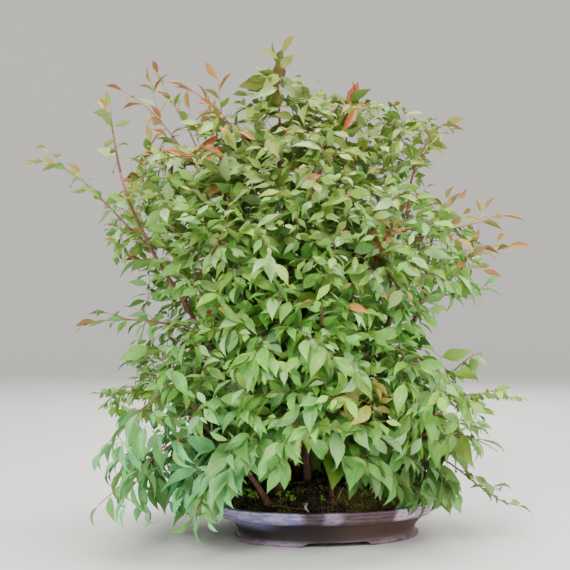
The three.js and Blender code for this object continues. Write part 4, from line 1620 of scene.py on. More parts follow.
def blade_mesh(name, form, stations, parts):
    """A thin closed blade one unit long with its stalk, folded, arched and twisted."""
    fold, arch, curl, twist, wave, breadth = form
    made = bmesh.new()
    uv = made.loops.layers.uv.new("blade")

    def vertex(along, across, under=False):
        y = across * 0.5 * breadth
        z = fold * abs(y) ** 1.15 - BLADE_THICK * under
        z += wave * math.sin(9 * along + 2 * across) * abs(across)
        turn = twist * along
        y, z = y * math.cos(turn) - z * math.sin(turn), y * math.sin(turn) + z * math.cos(turn)
        rib_x, rib_z, bent = midrib(along, arch, curl)
        place = (rib_x + z * math.sin(bent), y, rib_z + z * math.cos(bent))
        return made.verts.new(place), (along, across)

    def face(corners, under):
        shape = made.faces.new([corner for corner, _ in corners])
        shape.smooth = True
        for loop, (_, (along, across)) in zip(shape.loops, corners):
            loop[uv].uv = (0.5 + 0.5 * across + UNDER_SHIFT * under, along)

    base = vertex(BLADE_BASE, 0)
    tip = vertex(1, 0)
    tops = []
    bottoms = []
    for along, spread in stations:
        row = [(vertex(along, part * spread)[0], (along, part)) for part in parts]
        tops.append(row)
        rib, _ = vertex(along, 0, True)
        bottoms.append([row[0], (rib, (along, 0)), row[-1]])
    for rows, under in ((tops, 0), (bottoms, 1)):
        order = (lambda ring: ring[::-1]) if under else (lambda ring: ring)
        for k in range(len(rows[0]) - 1):
            face(order([base, rows[0][k + 1], rows[0][k]][::-1]), under)
            face(order([tip, rows[-1][k], rows[-1][k + 1]][::-1]), under)
            for low, high in zip(rows, rows[1:]):
                face(order([low[k], low[k + 1], high[k + 1], high[k]][::-1]), under)
    stalk = []
    for angle in (0.5, 2.6, 4.7):
        y, z = STALK_HALF * math.cos(angle), STALK_HALF * math.sin(angle)
        stalk.append([made.verts.new((x, y, z)) for x in (0, BLADE_BASE + 0.05)])
    for k in range(3):
        (a, b), (c, d) = stalk[k], stalk[(k + 1) % 3]
        shape = made.faces.new([a, c, d, b])
        shape.smooth = True
        for loop in shape.loops:
            loop[uv].uv = (0.5, 0.02)
    bmesh.ops.recalc_face_normals(made, faces=made.faces)
    for edge in made.edges:
        sides = {loop[uv].uv.x > UNDER_FROM for f in edge.link_faces for loop in f.loops}
        edge.smooth = len(sides) < 2
    return finished(made, bpy.data.meshes.new(name))


def spray_mesh(name, sprigs, leaves, tree, values):
    """Wood lines and leaf points as one mesh, run through the spray tree."""
    edges = []
    count = 0
    for sprig in sprigs:
        edges += [(count + i, count + i + 1) for i in range(len(sprig.points) - 1)]
        count += len(sprig.points)
    leaf_spots = np.array([leaf.at for leaf in leaves]).reshape(-1, 3)
    spots = np.vstack([*(sprig.points for sprig in sprigs), leaf_spots])
    mesh = new_mesh(name, spots, [], edges)
    bare = np.zeros(len(leaves))
    plain = np.zeros(count)
    store(mesh, "girth", np.concatenate([*(sprig.girths for sprig in sprigs), bare]))
    store(mesh, "young", np.concatenate([*(sprig.young for sprig in sprigs), bare]))
    store(mesh, "leafy", [False] * count + [True] * len(leaves), "BOOLEAN")
    turns = [(1, 0, 0, 0)] * count + [tuple(leaf.turn) for leaf in leaves]
    store(mesh, "turn", np.ravel(turns), "QUATERNION")
    store(mesh, "form", [0] * count + [leaf.form for leaf in leaves], "INT")
    store(mesh, "size", np.concatenate([plain, [leaf.size * MM for leaf in leaves]]))
    for key in ("tone", "youth", "bloom", "lush", "inside"):
        store(mesh, key, np.concatenate([plain, [leaf.colour[key] for leaf in leaves]]))
    made = run_tree(name, mesh, tree, values)
    for key in ("girth", "leafy", "turn", "form", "size"):
        layer = made.attributes.get(key)
        if layer is not None:
            made.attributes.remove(layer)
    return made


def rings_along(points, sides, radius_of):
    """Rings of points round a line, without twist."""
    heads = unit(np.gradient(points, axis=0))
    across = side_of(heads[0])
    rings = []
    for i, (point, head) in enumerate(zip(points, heads)):
        across = unit(across - head * across.dot(head))
        rest = np.cross(head, across)
        ring = []
        for k in range(sides):
            angle = 2 * math.pi * k / sides
            way = across * math.cos(angle) + rest * math.sin(angle)
            ring.append(point + way * radius_of(i, angle))
        rings.append(ring)
    return rings


def skin(rings, offset):
    """Faces over a row of rings, with a cap at each end."""
    sides = len(rings[0])
    last = offset + (len(rings) - 1) * sides
    caps = [tuple(offset + k for k in reversed(range(sides)))]
    caps.append(tuple(last + k for k in range(sides)))
    return [*bands(offset, len(rings), sides), *caps]


# How russet the bark of each stem is, from grey to cinnamon
STEM_RUSSET = (0.05, 0.5, 0.95, 0.3, 0.95, 0.4, 0.5, 0.4, 0.1, 0.3, 0.2)

# Spacing of the rings, how far a stem sways, and how much its foot and its forks swell
STEM_RINGS_APART = 6
BOUGH_RINGS_APART = 5
BOUGH_SIDES = 8
SWAY = 1.6
ROOT_TOP = 62
ROOT_FADES = 9
ROOT_SWELL = 0.35
FORK_SWELL = 0.22
FORK_REACH = 60
COLLAR_SWELL = 0.5
BOUGH_YOUNGER = 0.1


def stem_girth(spot, angle, number, forks):
    """How much wider a stem is by its root and its forks."""
    above = max(spot[2] - ROOT_TOP, 0)
    root = math.exp(-above / ROOT_FADES) * (0.5 + 0.5 * math.cos(3 * angle + number))
    swell = sum(math.exp(-((spot - fork) ** 2).sum() / FORK_REACH) for fork in forks)
    return 1 + ROOT_SWELL * root, 1 + FORK_SWELL * min(swell, 1)


def stem_mesh(name, stem, number, settings):
    """A stem with its boughs, irregular, flared at the soil and swollen at its forks."""
    points, faces, young = [], [], []
    forks = [part.curve.at(0) for part in stem.parts]
    for wood in [stem, *stem.parts]:
        is_stem = wood is stem
        length = wood.curve.length() * (wood.end - wood.start)
        sides = settings.stem_sides if is_stem else BOUGH_SIDES
        count = max(5, round(length / (STEM_RINGS_APART if is_stem else BOUGH_RINGS_APART)))
        shares = np.linspace(wood.start, wood.end, count + 1)
        line = wood.curve.at(shares)
        if is_stem:
            sway = np.array([
                [noise.noise(Vector((number * 9, k, s * 9))) for k in (1, 5, 9)] for s in shares
            ])
            line = line + sway * SWAY * np.sin(np.pi * shares)[:, None]
        girths = wood.radius_at(shares)

        def radius_of(i, angle, line=line, girths=girths, is_stem=is_stem):
            spot = line[i]
            lump = noise.noise(Vector((spot[0] * 0.06 + angle, spot[1] * 0.06, spot[2] * 0.05)))
            radius = girths[i] * (1 + settings.lumps * lump)
            if not is_stem:
                return radius * (1 + COLLAR_SWELL * math.exp(-i * 0.9))
            by_root, by_forks = stem_girth(spot, angle, number, forks)
            return radius * by_root * by_forks

        rings = rings_along(line, sides, radius_of)
        faces += skin(rings, len(points))
        for ring, share in zip(rings, shares.tolist()):
            points += ring
            age = 0.05 + 0.24 * share ** 1.5 + 0.6 * smooth(share, 0.8, 1)
            young += [age + (0 if is_stem else BOUGH_YOUNGER)] * sides
    mesh = new_mesh(name, points, faces)
    store(mesh, "young", young)
    store(mesh, "russet", [STEM_RUSSET[number]] * len(points))
    return mesh


def mound_height(x, y):
    """The height of the soil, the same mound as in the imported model, made lumpy."""
    share = min(math.hypot(x, y / POT_DEPTH_RATIO) / SOIL_INNER, 1.0)
    rise = math.cos(share * math.pi / 2) ** 1.2
    height = SOIL_EDGE_HEIGHT + (SOIL_CREST_HEIGHT - SOIL_EDGE_HEIGHT) * rise
    inside = 1 - share**6
    lumps = 2.2 * noise.noise(Vector((x / 26, y / 26, 1)))
    lumps += 0.9 * noise.noise(Vector((x / 8, y / 8, 4)))
    return height + lumps * inside - 1.2 * (1 - inside)


def moss_growth(x, y):
    """How well moss grows: best in front on the right, and in patches elsewhere."""
    side = smooth(x, -20, 60) * smooth(y, 30, -30)
    return 0.3 + 0.75 * side + 0.9 * noise.noise(Vector((x / 30, y / 22, 7)))


def moss_weight(x, y):
    """How closely tufts of moss stand."""
    return smooth(moss_growth(x, y), 0.25, 0.8)


def crumb_weight(x, y):
    """How closely crumbs lie: fewer between the tufts of moss."""
    return 1 - 0.8 * moss_weight(x, y)


SOIL_RINGS = 46
SOIL_SPOKES = 132
MOSS_FROM = 43


def soil_mesh(name):
    """The mound, down to the pot's floor, with how green each place of its top is."""
    points = [(0, 0, mound_height(0, 0))]
    for i in range(1, SOIL_RINGS + 1):
        radius = SOIL_INNER * (i / SOIL_RINGS) ** 0.9
        for x, y in oval(radius, SOIL_SPOKES, POT_DEPTH_RATIO, 0.5 * (i % 2)):
            points.append((x, y, mound_height(x, y)))
    wall = [(SOIL_INNER - 1, 38), (POT_HALF_WIDTH - 33, 25), (POT_HALF_WIDTH - 45, 14.4)]
    for radius, height in wall:
        points += [(x, y, height) for x, y in oval(radius, SOIL_SPOKES, POT_DEPTH_RATIO)]
    faces = disc_faces(SOIL_RINGS + len(wall), SOIL_SPOKES)
    end = len(points)
    last = end - SOIL_SPOKES
    points.append((0, 0, wall[-1][1]))
    faces += [(last + (k + 1) % SOIL_SPOKES, last + k, end) for k in range(SOIL_SPOKES)]
    mesh = smoothed(new_mesh(name, points, faces))
    moss = [min(1.0, max(0.0, moss_growth(x, y))) if z > MOSS_FROM else 0.0 for x, y, z in points]
    store(mesh, "moss", moss)
    return mesh


def pot_profile(settings):
    """The radius to the right and the height of the finer pot's outline, between its middles."""
    rim, top, groove = POT_HALF_WIDTH, POT_HEIGHT, settings.groove
    return [
        (rim - 47, FOOT_HEIGHT), (rim - 45, 5.4), (rim - 44.2, 0.8),
        (rim - 43.4, 0), (rim - 28, 0), (rim - 26.6, 0.6), (rim - 26, 2.2),
        (rim - 26.2, 3.6), (rim - 27.6, 4.6), (rim - 29.4, 5.8), (rim - 30.8, 8),
        (rim - 31, 11), (rim - 30.2, 14.6), (rim - 28, 18), (rim - 24.6, 22),
        (rim - 20.4, 25.8), (rim - 15.6, 28.6), (rim - 10.4, 30.4), (rim - 9, 31),
        (rim - 8.4, 31.9), (rim - 8.4 - groove, 32.6), (rim - 7.6, 33.4), (rim - 5.4, 35),
        (rim - 3.4, 37), (rim - 2.7, 38.3), (rim - 2.6 - groove, 39.2), (rim - 2.1, 40.1),
        (rim - 1.4, 42), (rim - 1.1, 42.9), (rim - 1 - groove, 43.7), (rim - 0.6, 44.5),
        (rim, 46.4), (rim - 0.3, 47.4), (rim - 1.2, top),
        (rim - 5, top - 0.1), (rim - 10.6, top), (rim - 11.8, top - 0.5), (rim - 12.4, top - 1.8),
        (rim - 13, top - 8), (rim - 20 - POT_WALL, 25), (rim - 33, 19), (rim - 40, 14.6),
        (rim - 43, POT_FLOOR_TOP),
    ]


def pot_mesh(name, settings):
    """One turned oval on four feet with arches between them, and two drain holes."""
    spokes = settings.pot_sides
    arch_height = FOOT_HEIGHT - 0.6
    profile = pot_profile(settings)
    points = [(0, 0, FOOT_HEIGHT)]
    for radius, height in profile:
        for x, y in oval(radius, spokes, POT_DEPTH_RATIO):
            front = smooth(ARCH_HALF_WIDTH - abs(x), -4, 7)
            ends = smooth(0.4 * ARCH_HALF_WIDTH - abs(y), -3, 5)
            lift = arch_height * max(front, ends)
            points.append((x, y, max(height, lift) if height < arch_height else height))
    end = len(points)
    last = end - spokes
    points.append((0, 0, POT_FLOOR_TOP))
    faces = [(0, 1 + (k + 1) % spokes, 1 + k) for k in range(spokes)]
    faces += bands(1, len(profile), spokes)
    faces += [(last + k, last + (k + 1) % spokes, end) for k in range(spokes)]
    return drilled(closed_outward(new_mesh(name, points, faces)))


def drilled(mesh):
    """Cuts the two drain holes through the pot's floor."""
    cutter = bmesh.new()
    for x in (-DRAIN_OFFSET, DRAIN_OFFSET):
        place = (np.array([x, 0, 10]) + POT_MIDDLE) * MM
        bmesh.ops.create_cone(
            cutter, cap_ends=True, segments=DRAIN_SIDES, radius1=DRAIN_RADIUS * MM,
            radius2=DRAIN_RADIUS * MM, depth=0.03, matrix=Matrix.Translation(place),
        )
    drill = bpy.data.objects.new("drill", finished(cutter, bpy.data.meshes.new("drill")))
    body = bpy.data.objects.new("pot_body", mesh)
    for each in (drill, body):
        bpy.context.scene.collection.objects.link(each)
    cut = body.modifiers.new("drain_holes", "BOOLEAN")
    cut.operation = "DIFFERENCE"
    cut.solver = "EXACT"
    cut.object = drill
    graph = bpy.context.evaluated_depsgraph_get()
    made = bpy.data.meshes.new_from_object(body.evaluated_get(graph), depsgraph=graph)
    for each in (drill, body):
        discard(each)
    edges = bmesh.new()
    edges.from_mesh(made)
    for edge in edges.edges:
        edge.smooth = len(edge.link_faces) == 2 and edge.calc_face_angle(0) < SHARPEST_SMOOTH
    return finished(edges, made)


def tuft_mesh(name, blades, height, spread, half):
    """A few tiny spikes that lean apart, in metres, each with a foot of that half width."""
    made = bmesh.new()
    for k in range(blades):
        angle = 2 * math.pi * k / blades
        lean = Vector((math.cos(angle), math.sin(angle), 0)) * spread
        foot = lean * 0.35
        ring = []
        for i in range(3):
            turn = angle + 2 * math.pi * i / 3
            ring.append(made.verts.new(foot + Vector((math.cos(turn), math.sin(turn), 0)) * half))
        top = made.verts.new(lean + Vector((0, 0, height * (0.8 + 0.2 * (k % 2)))))
        for i in range(3):
            made.faces.new([ring[i], ring[(i + 1) % 3], top])
        made.faces.new(ring[::-1])
    return finished(made, bpy.data.meshes.new(name))


def pebble_mesh(name, radius):
    """An uneven crumb."""
    made = bmesh.new()
    bmesh.ops.create_icosphere(made, subdivisions=1, radius=radius)
    for vertex in made.verts:
        lump = 1 + 0.35 * noise.noise(vertex.co * 900)
        vertex.co = vertex.co * lump
        vertex.co.z *= 0.75
    return finished(made, bpy.data.meshes.new(name))


PATCH_CELLS = 40
PATCH_REACH = 0.98
STREWN_REACH = 0.96
STREWN_SUNK = 0.3


def surface_patch(weigh):
    """The top of the mound alone, with a weight for what is strewn over it."""
    row = PATCH_CELLS + 1
    points, weights, faces = [], [], []
    for i in range(row):
        for k in range(row):
            x = (2 * i / PATCH_CELLS - 1) * SOIL_INNER * PATCH_REACH
            y = (2 * k / PATCH_CELLS - 1) * SOIL_INNER * PATCH_REACH * POT_DEPTH_RATIO
            inside = math.hypot(x, y / POT_DEPTH_RATIO) < SOIL_INNER * STREWN_REACH
            points.append((x, y, mound_height(x, y) - STREWN_SUNK))
            weights.append(weigh(x, y) if inside else 0.0)
    for i in range(PATCH_CELLS):
        for k in range(PATCH_CELLS):
            a = i * row + k
            faces.append((a, a + row, a + row + 1, a + 1))
    mesh = new_mesh("surface_patch", points, faces)
    store(mesh, "weight", weights)
    return mesh


def tube_piece(lines, sides):
    """Points and faces of several tapering tubes."""
    points, faces = [], []
    for line, girths in lines:
        line = np.array(line, float)
        rings = rings_along(line, sides, lambda i, angle, girths=girths: girths[i])
        faces += skin(rings, len(points))
        for ring in rings:
            points += ring
    return points, faces


def on_soil(x, y, above=0.0):
    """A point at a height over the mound."""
    return np.array([x, y, mound_height(x, y) + above])


def litter_mesh(name):
    """A dead twig, a twig stub, a straw and a curled fallen leaf, all on the mound."""
    twig = [on_soil(4, -52, -3), on_soil(6, -53, 6), on_soil(8, -55, 13), on_soil(11, -56, 19)]
    stub = [on_soil(-98, -14, -3), on_soil(-101, -16, 5), on_soil(-105, -18, 11)]
    straw = [on_soil(-92 + 7 * i, -44 - 3.4 * i, 0.9 + 1.1 * math.sin(i)) for i in range(8)]
    lines = [
        (twig, [1.1, 1, 0.8, 0.4]),
        (stub, [1.7, 1.5, 1.3]),
        (straw, [0.35, 0.45, 0.5, 0.5, 0.5, 0.45, 0.4, 0.25]),
    ]
    points, faces = tube_piece(lines, 6)
    curl = []
    for i in range(7):
        share = i / 6
        for part in (-1, 0, 1):
            width = 2.3 * math.sin(math.pi * min(share * 0.9 + 0.08, 1)) * part
            sway = 2.6 * math.sin(2 * math.pi * share) + 5 * share
            bend = 3.4 * math.sin(math.pi * share) + 0.9 * abs(part)
            spot = on_soil(-45 + sway + width, -58 - 16 * share + part, 1.6 + bend)
            curl.append(spot)
    start = len(points)
    points += curl
    points += [spot - UP * 0.5 for spot in curl]
    rows = len(curl) // 3
    for i in range(rows - 1):
        for k in range(2):
            a = start + i * 3 + k
            faces.append((a, a + 3, a + 4, a + 1))
            b = a + len(curl)
            faces.append((b, b + 1, b + 4, b + 3))
    loop = [i * 3 for i in range(rows)] + [3 * rows - 2] + [
        3 * i + 2 for i in reversed(range(rows))
    ] + [1]
    for a, b in zip(loop, loop[1:] + loop[:1]):
        faces.append((start + a, start + b, start + b + len(curl), start + a + len(curl)))
    mesh = new_mesh(name, points, faces)
    store(mesh, "husk", [0.0] * start + [1.0] * (len(points) - start))
    return closed_outward(mesh)


# Place and height of each weed on the mound
WEEDS = [
    (-66, -44, 11), (-72, -38, 9), (-58, -48, 8), (20, -44, 13), (28, -38, 10), (64, -36, 12),
    (74, -28, 10), (104, -16, 12), (-20, -58, 7), (46, -46, 8), (-112, -14, 15), (-120, -8, 18),
    (-104, -20, 11), (112, -22, 15), (120, -12, 19), (106, -6, 17), (126, -20, 13),
]
LEAFLETS = 3

# Along and across a leaflet, in leaflet lengths
LEAFLET_RIM = [(0, 0), (0.5, 0.42), (0.92, 0.38), (0.86, 0), (0.92, -0.38), (0.5, -0.42)]


def weed_mesh(name):
    """Clover-like weeds: stalks that rise from the soil, each with three leaflets."""
    points, faces = [], []
    count = len(LEAFLET_RIM)
    for number, (x, y, height) in enumerate(WEEDS):
        turn = 2.4 * number
        lean = np.array([math.cos(turn), math.sin(turn), 0]) * 0.3 * height
        foot = on_soil(x, y, -1)
        top = foot + lean + UP * height
        line = [foot, foot + lean * 0.3 + UP * height * 0.5, top]
        rings = rings_along(np.array(line), 4, lambda i, angle: 0.35)
        faces += skin(rings, len(points))
        for ring in rings:
            points += ring
        face = unit(np.array([0.5 * math.cos(turn), -0.7, 0.6 + 0.2 * math.sin(turn)]))
        level = unit(np.cross(face, UP))
        steep = np.cross(face, level)
        size = 0.34 * height + 2.4
        for k in range(LEAFLETS):
            angle = turn + 2 * math.pi * k / LEAFLETS
            way = level * math.cos(angle) + steep * math.sin(angle)
            across = np.cross(face, way)
            start = len(points)
            for thick in (0.15, -0.15):
                for along, out in LEAFLET_RIM:
                    cup = 0.2 * abs(out) * size
                    points.append(top + (way * along + across * out) * size + face * (thick + cup))
            faces.append(tuple(start + i for i in range(count)))
            faces.append(tuple(start + count + i for i in reversed(range(count))))
            for i in range(count):
                j = (i + 1) % count
                faces.append((start + i, start + count + i, start + count + j, start + j))
    return closed_outward(new_mesh(name, points, faces))


# The studio floor and its wall, in metres
FLOOR_RADIUS = 3.2
SWEEP_RADIUS = 1.8
SWEEP_SIDES = 96
WALL_HEIGHT = 3.2
FLOOR_GAP = 0.0002


def sweep_mesh(name):
    """A round floor that curves up into a wall all round, without an edge to see."""
    profile = [(1.5, 0), (FLOOR_RADIUS, 0)]
    for angle in np.linspace(0, math.pi / 2, 25)[1:]:
        out, up = SWEEP_RADIUS * math.sin(angle), SWEEP_RADIUS * (1 - math.cos(angle))
        profile.append((FLOOR_RADIUS + out, up))
    profile.append((FLOOR_RADIUS + SWEEP_RADIUS, WALL_HEIGHT))
    points = [(0, 0, 0)]
    for radius, height in profile:
        points += [(x, y, height) for x, y in oval(radius, SWEEP_SIDES)]
    mesh = bpy.data.meshes.new(name)
    mesh.from_pydata(points, [], disc_faces(len(profile), SWEEP_SIDES))
    return smoothed(mesh)


# Settings

def colour_setting(name, description, code):
    """A colour that a user may change."""
    return bpy.props.FloatVectorProperty(
        name=name, description=description, subtype="COLOR", size=3, min=0, max=1,
        default=srgb(code),
    )


def number_setting(name, description, default, least=None, most=None, **more):
    """A number that a user may change, which is whole if its default is."""
    limits = {"min": least, "max": most}
    more |= {key: value for key, value in limits.items() if value is not None}
    kind = bpy.props.IntProperty if isinstance(default, int) else bpy.props.FloatProperty
    return kind(name=name, description=description, default=default, **more)


LENGTH = {"subtype": "DISTANCE", "unit": "LENGTH"}
ANGLE = {"subtype": "ANGLE", "unit": "ROTATION"}


class StewartiaColours(bpy.types.PropertyGroup):
    """Colours of the leaves, wood, pot, soil and studio."""

    top_green: colour_setting("Top green", "Leaves at the top of the crown", 0x8B9E40)
    middle_green: colour_setting("Middle green", "Leaves in the middle", 0x54AA3C)
    low_green: colour_setting("Low green", "Bluish leaves low on the left", 0x55BC82)
    deep_green: colour_setting("Deep green", "The greenest leaves", 0x2F8A24)
    fresh_green: colour_setting("Fresh green", "The freshest leaves", 0x96C83E)
    olive: colour_setting("Olive", "Duller patches of the crown", 0x758C3E)
    # A painted sheen, mixed into some leaves
    sheen: colour_setting("Sheen", "Grey-green leaves that shine", 0x8FB59A)
    vein_green: colour_setting("Vein green", "Midribs and veins", 0xA3C255)
    underside: colour_setting("Underside", "Undersides of leaves", 0x8BA860)
    copper: colour_setting("Copper", "Young leaves", 0xB24A12)
    pink: colour_setting("Pink", "Youngest leaves and shoots", 0xCC4038)
    stalk: colour_setting("Stalk", "Leaf stalks", 0xA07A4C)
    shoot: colour_setting("Shoot", "Bark of green shoots", 0x8B7A46)
    shoot_pink: colour_setting("Pink shoot", "Bark of pink shoots", 0xBE6E6A)
    bark: colour_setting("Bark", "Outer bark", 0x6E4632)
    bark_grey: colour_setting("Grey bark", "Bark of the greyer stems", 0x6B483A)
    bark_pale: colour_setting("Pale bark", "Bark of the upper stems", 0x96705F)
    bark_dark: colour_setting("Dark bark", "Cracks and old bark", 0x56302A)
    bark_inner: colour_setting("Inner bark", "Bark under the flakes", 0x9A5F3C)
    clay: colour_setting("Clay", "Brown clay", 0x4E342E)
    # Mauve, pink and haze give the rim its haze, and also the painted highlights at the rim's ends,
    # on the far left of the waist and partly on the foot
    clay_mauve: colour_setting("Mauve clay", "Bloom on the left of the rim", 0x8C8AC6)
    clay_pink: colour_setting("Pink clay", "Bloom on the right of the rim", 0xC096BE)
    clay_dark: colour_setting("Dark clay", "Darker clay", 0x2A1E20)
    clay_haze_and_highlight: colour_setting("Clay haze", "Pale mineral haze", 0xDCC8E6)
    soil: colour_setting("Soil", "Soil crumbs", 0x5A402C)
    # Dark soil between the crumbs, deepened as painted shade in their gaps
    dark_soil_and_gap_shade: colour_setting("Dark soil", "Between the crumbs", 0x1F1610)
    soil_dry: colour_setting("Dry soil", "Dry soil and pale crumbs", 0x5F4A35)
    grit: colour_setting("Grit", "Small stones", 0x7A6A55)
    moss: colour_setting("Moss", "Growing moss", 0x858244)
    moss_dry: colour_setting("Dry moss", "Dried moss", 0xB39C68)
    moss_dark: colour_setting("Dark moss", "Moss between the tufts", 0x665534)
    straw: colour_setting("Straw", "Dried grass", 0xC2AD82)
    straw_dark: colour_setting("Dark straw", "Streaks of dried grass", 0x8A6E48)
    weed: colour_setting("Weed", "Leaves of the weeds", 0x5F9A34)
    husk: colour_setting("Husk", "The dried curl on the soil", 0xF6F2E6)
    plastic: colour_setting("Plastic", "Drain meshes", 0x2C3230)
    floor: colour_setting("Floor", "Studio floor", 0xEFEDE8)
    floor_shade: colour_setting("Floor shade", "Cloudiness of the floor", 0xE2E0DB)


class StewartiaLeaves(bpy.types.PropertyGroup):
    """How many leaves there are, and how big."""

    seed: number_setting("Seed", "Another number grows other twigs", 11, 0)
    tries: number_setting("Tries", "Points tried for twig tips", 26000, 100)
    spread: number_setting("Spread", "Distance between twig tips, in millimetres", 21.0, 8)
    leaf_gap: number_setting("Leaf gap", "Scale of the distance between leaves", 1.0, 0.3, 3)
    leaf_size: number_setting("Leaf size", "Scale of every leaf", 1.0, 0.3, 2, subtype="FACTOR")
    twig_sides: number_setting("Twig sides", "Sides of a twig's tube", 4, 3, 12)


class StewartiaWood(bpy.types.PropertyGroup):
    """The look of the stems."""

    stem_sides: number_setting("Stem sides", "Sides of a stem", 14, 6, 40)
    lumps: number_setting("Lumps", "Unevenness of the stems", 0.14, 0, 0.5, subtype="FACTOR")


class StewartiaPot(bpy.types.PropertyGroup):
    """Sizes of the pot's details and of what lies on the soil."""

    groove: number_setting("Groove", "Depth of the rim's grooves, in millimetres", 1.1, 0, 3)
    pot_sides: number_setting("Pot sides", "Segments round the pot", 168, 24, 512)
    moss_tufts: number_setting("Moss tufts", "Tufts of moss in a square metre", 260000.0, 0)
    crumbs: number_setting("Crumbs", "Crumbs in a square metre", 42000.0, 0)


class StewartiaStudio(bpy.types.PropertyGroup):
    """The camera and the lights."""

    distance: number_setting("Distance", "Camera to the pot's middle", 1.6, 0.5, **LENGTH)
    height: number_setting("Height", "Height of the camera", 0.35, 0, **LENGTH)
    turn: number_setting("Turn", "How far left the camera stands", math.radians(9.5), **ANGLE)
    aside: number_setting("Aside", "How far left of the pot the view passes", 0.059, **LENGTH)
    view_width: number_setting("View width", "What is seen at the pot", 0.798, 0.1, **LENGTH)
    light: number_setting("Light", "Strength of the main light", 66.0, 0)


# Operators

class StewartiaOperator:
    """What the operators share."""

    bl_options = {"REGISTER", "UNDO"}


class STEWARTIA_OT_pot(StewartiaOperator, bpy.types.Operator):
    """Make the oval clay pot"""

    bl_idname = "stewartia.pot"
    bl_label = "Pot"

    def execute(self, context):
        scene = context.scene
        mesh = pot_mesh("clay_pot", scene.stewartia_pot)
        add_piece("clay_pot", mesh, ("pot",), clay_material(scene.stewartia_colours))
        return {"FINISHED"}


class STEWARTIA_OT_drain_meshes(StewartiaOperator, bpy.types.Operator):
    """Give the two drain meshes their plastic"""

    bl_idname = "stewartia.drain_meshes"
    bl_label = "Drain Meshes"

    def execute(self, context):
        plastic = plastic_material(context.scene.stewartia_colours)
        for node in ("drain_mesh_left", "drain_mesh_right"):
            piece = frame["nodes"][node]
            for slot in piece.material_slots:
                slot.material = plastic
        return {"FINISHED"}


class STEWARTIA_OT_soil(StewartiaOperator, bpy.types.Operator):
    """Make the mound of soil, its moss and its crumbs"""

    bl_idname = "stewartia.soil"
    bl_label = "Soil"

    def execute(self, context):
        scene = context.scene
        colours, sizes = scene.stewartia_colours, scene.stewartia_pot
        mesh = soil_mesh("soil_mound")
        add_piece("soil_mound", mesh, ("soil",), earth_material(colours))
        tree = scatter_tree()
        tuft = tuft_mesh("tuft", blades=3, height=0.0024, spread=0.0011, half=0.0004)
        pebble = pebble_mesh("pebble", radius=0.0012)
        moss, grit = moss_material(colours), grit_material(colours)
        strewn = (
            ("moss_tufts", tuft, moss_weight, moss, sizes.moss_tufts, 5),
            ("soil_crumbs", pebble, crumb_weight, grit, sizes.crumbs, 8),
        )
        for name, form, weigh, material, count, seed in strewn:
            copy = bpy.data.objects.new(f"{name}_form", form)
            made = run_tree(name, surface_patch(weigh), tree, {
                "Copy": copy,
                "Material": material,
                "Copies per square metre": count,
                "Least size": 0.5,
                "Most size": 1.5,
                "Seed": seed,
            })
            add_piece(name, made)
            discard(copy)
        bpy.data.node_groups.remove(tree)
        return {"FINISHED"}


class STEWARTIA_OT_ground(StewartiaOperator, bpy.types.Operator):
    """Make the weeds and what has fallen on the soil"""

    bl_idname = "stewartia.ground"
    bl_label = "Weeds and Litter"

    def execute(self, context):
        colours = context.scene.stewartia_colours
        weeds, litter = weed_mesh("soil_weeds"), litter_mesh("soil_litter")
        add_piece("soil_weeds", weeds, (), weed_material(colours))
        add_piece("soil_litter", litter, (), straw_material(colours))
        return {"FINISHED"}


class STEWARTIA_OT_stems(StewartiaOperator, bpy.types.Operator):
    """Make the stems with their boughs"""

    bl_idname = "stewartia.stems"
    bl_label = "Stems"

    def execute(self, context):
        scene = context.scene
        bark = bark_material(scene.stewartia_colours)
        stems, _ = planned()
        for i, stem in enumerate(stems):
            name = f"stem_{i + 1:02d}"
            mesh = closed_outward(stem_mesh(f"{name}_wood", stem, i, scene.stewartia_wood))
            add_piece(f"{name}_wood", mesh, (name,), bark)
        return {"FINISHED"}


class STEWARTIA_OT_leaves(StewartiaOperator, bpy.types.Operator):
    """Make the leafy sprays and the leaves inside the crown"""

    bl_idname = "stewartia.leaves"
    bl_label = "Leaves"

    def execute(self, context):
        scene = context.scene
        forms = bpy.data.collections.new("blade_forms")
        for i, form in enumerate(BLADE_FORMS):
            name = f"blade_form_{i}"
            shape = (FULL_STATIONS, FULL_PARTS) if i < FULL_FORMS else (PLAIN_STATIONS, PLAIN_PARTS)
            forms.objects.link(bpy.data.objects.new(name, blade_mesh(name, form, *shape)))
        tree = spray_tree()
        values = {
            "Blade forms": forms,
            "Leaf material": leaf_material(scene.stewartia_colours),
            "Bark material": bark_material(scene.stewartia_colours),
            "Twig sides": scene.stewartia_leaves.twig_sides,
            "Size chance": SIZE_CHANCE,
            "Seed": scene.stewartia_leaves.seed,
        }
        for piece, (sprigs, leaves) in grown(scene.stewartia_leaves).items():
            stands_for = (piece,) if piece.startswith("spray") else ()
            mesh = spray_mesh(f"{piece}_leaves", sprigs, leaves, tree, values)
            add_piece(f"{piece}_leaves", mesh, stands_for)
        for form in list(forms.objects):
            discard(form)
        bpy.data.collections.remove(forms)
        bpy.data.node_groups.remove(tree)
        return {"FINISHED"}


# Place and size of each lamp in metres, and its strength as a share of the main light's
LIGHTS = {
    "key_light": ((-1.0, -1.8, 1.9), 1.0, 1.0),
    "fill_light": ((1.8, -1.2, 1.1), 1.6, 0.4),
    "top_light": ((0.15, -0.1, 2.3), 1.1, 0.8),
    "back_light": ((0.6, 1.9, 1.3), 1.4, 0.35),
}
LIGHTS_AIM = Vector((0, 0, 0.3))
SKY = (0.78, 0.79, 0.8)
SKY_STRENGTH = 0.6
SENSOR_WIDTH = 36


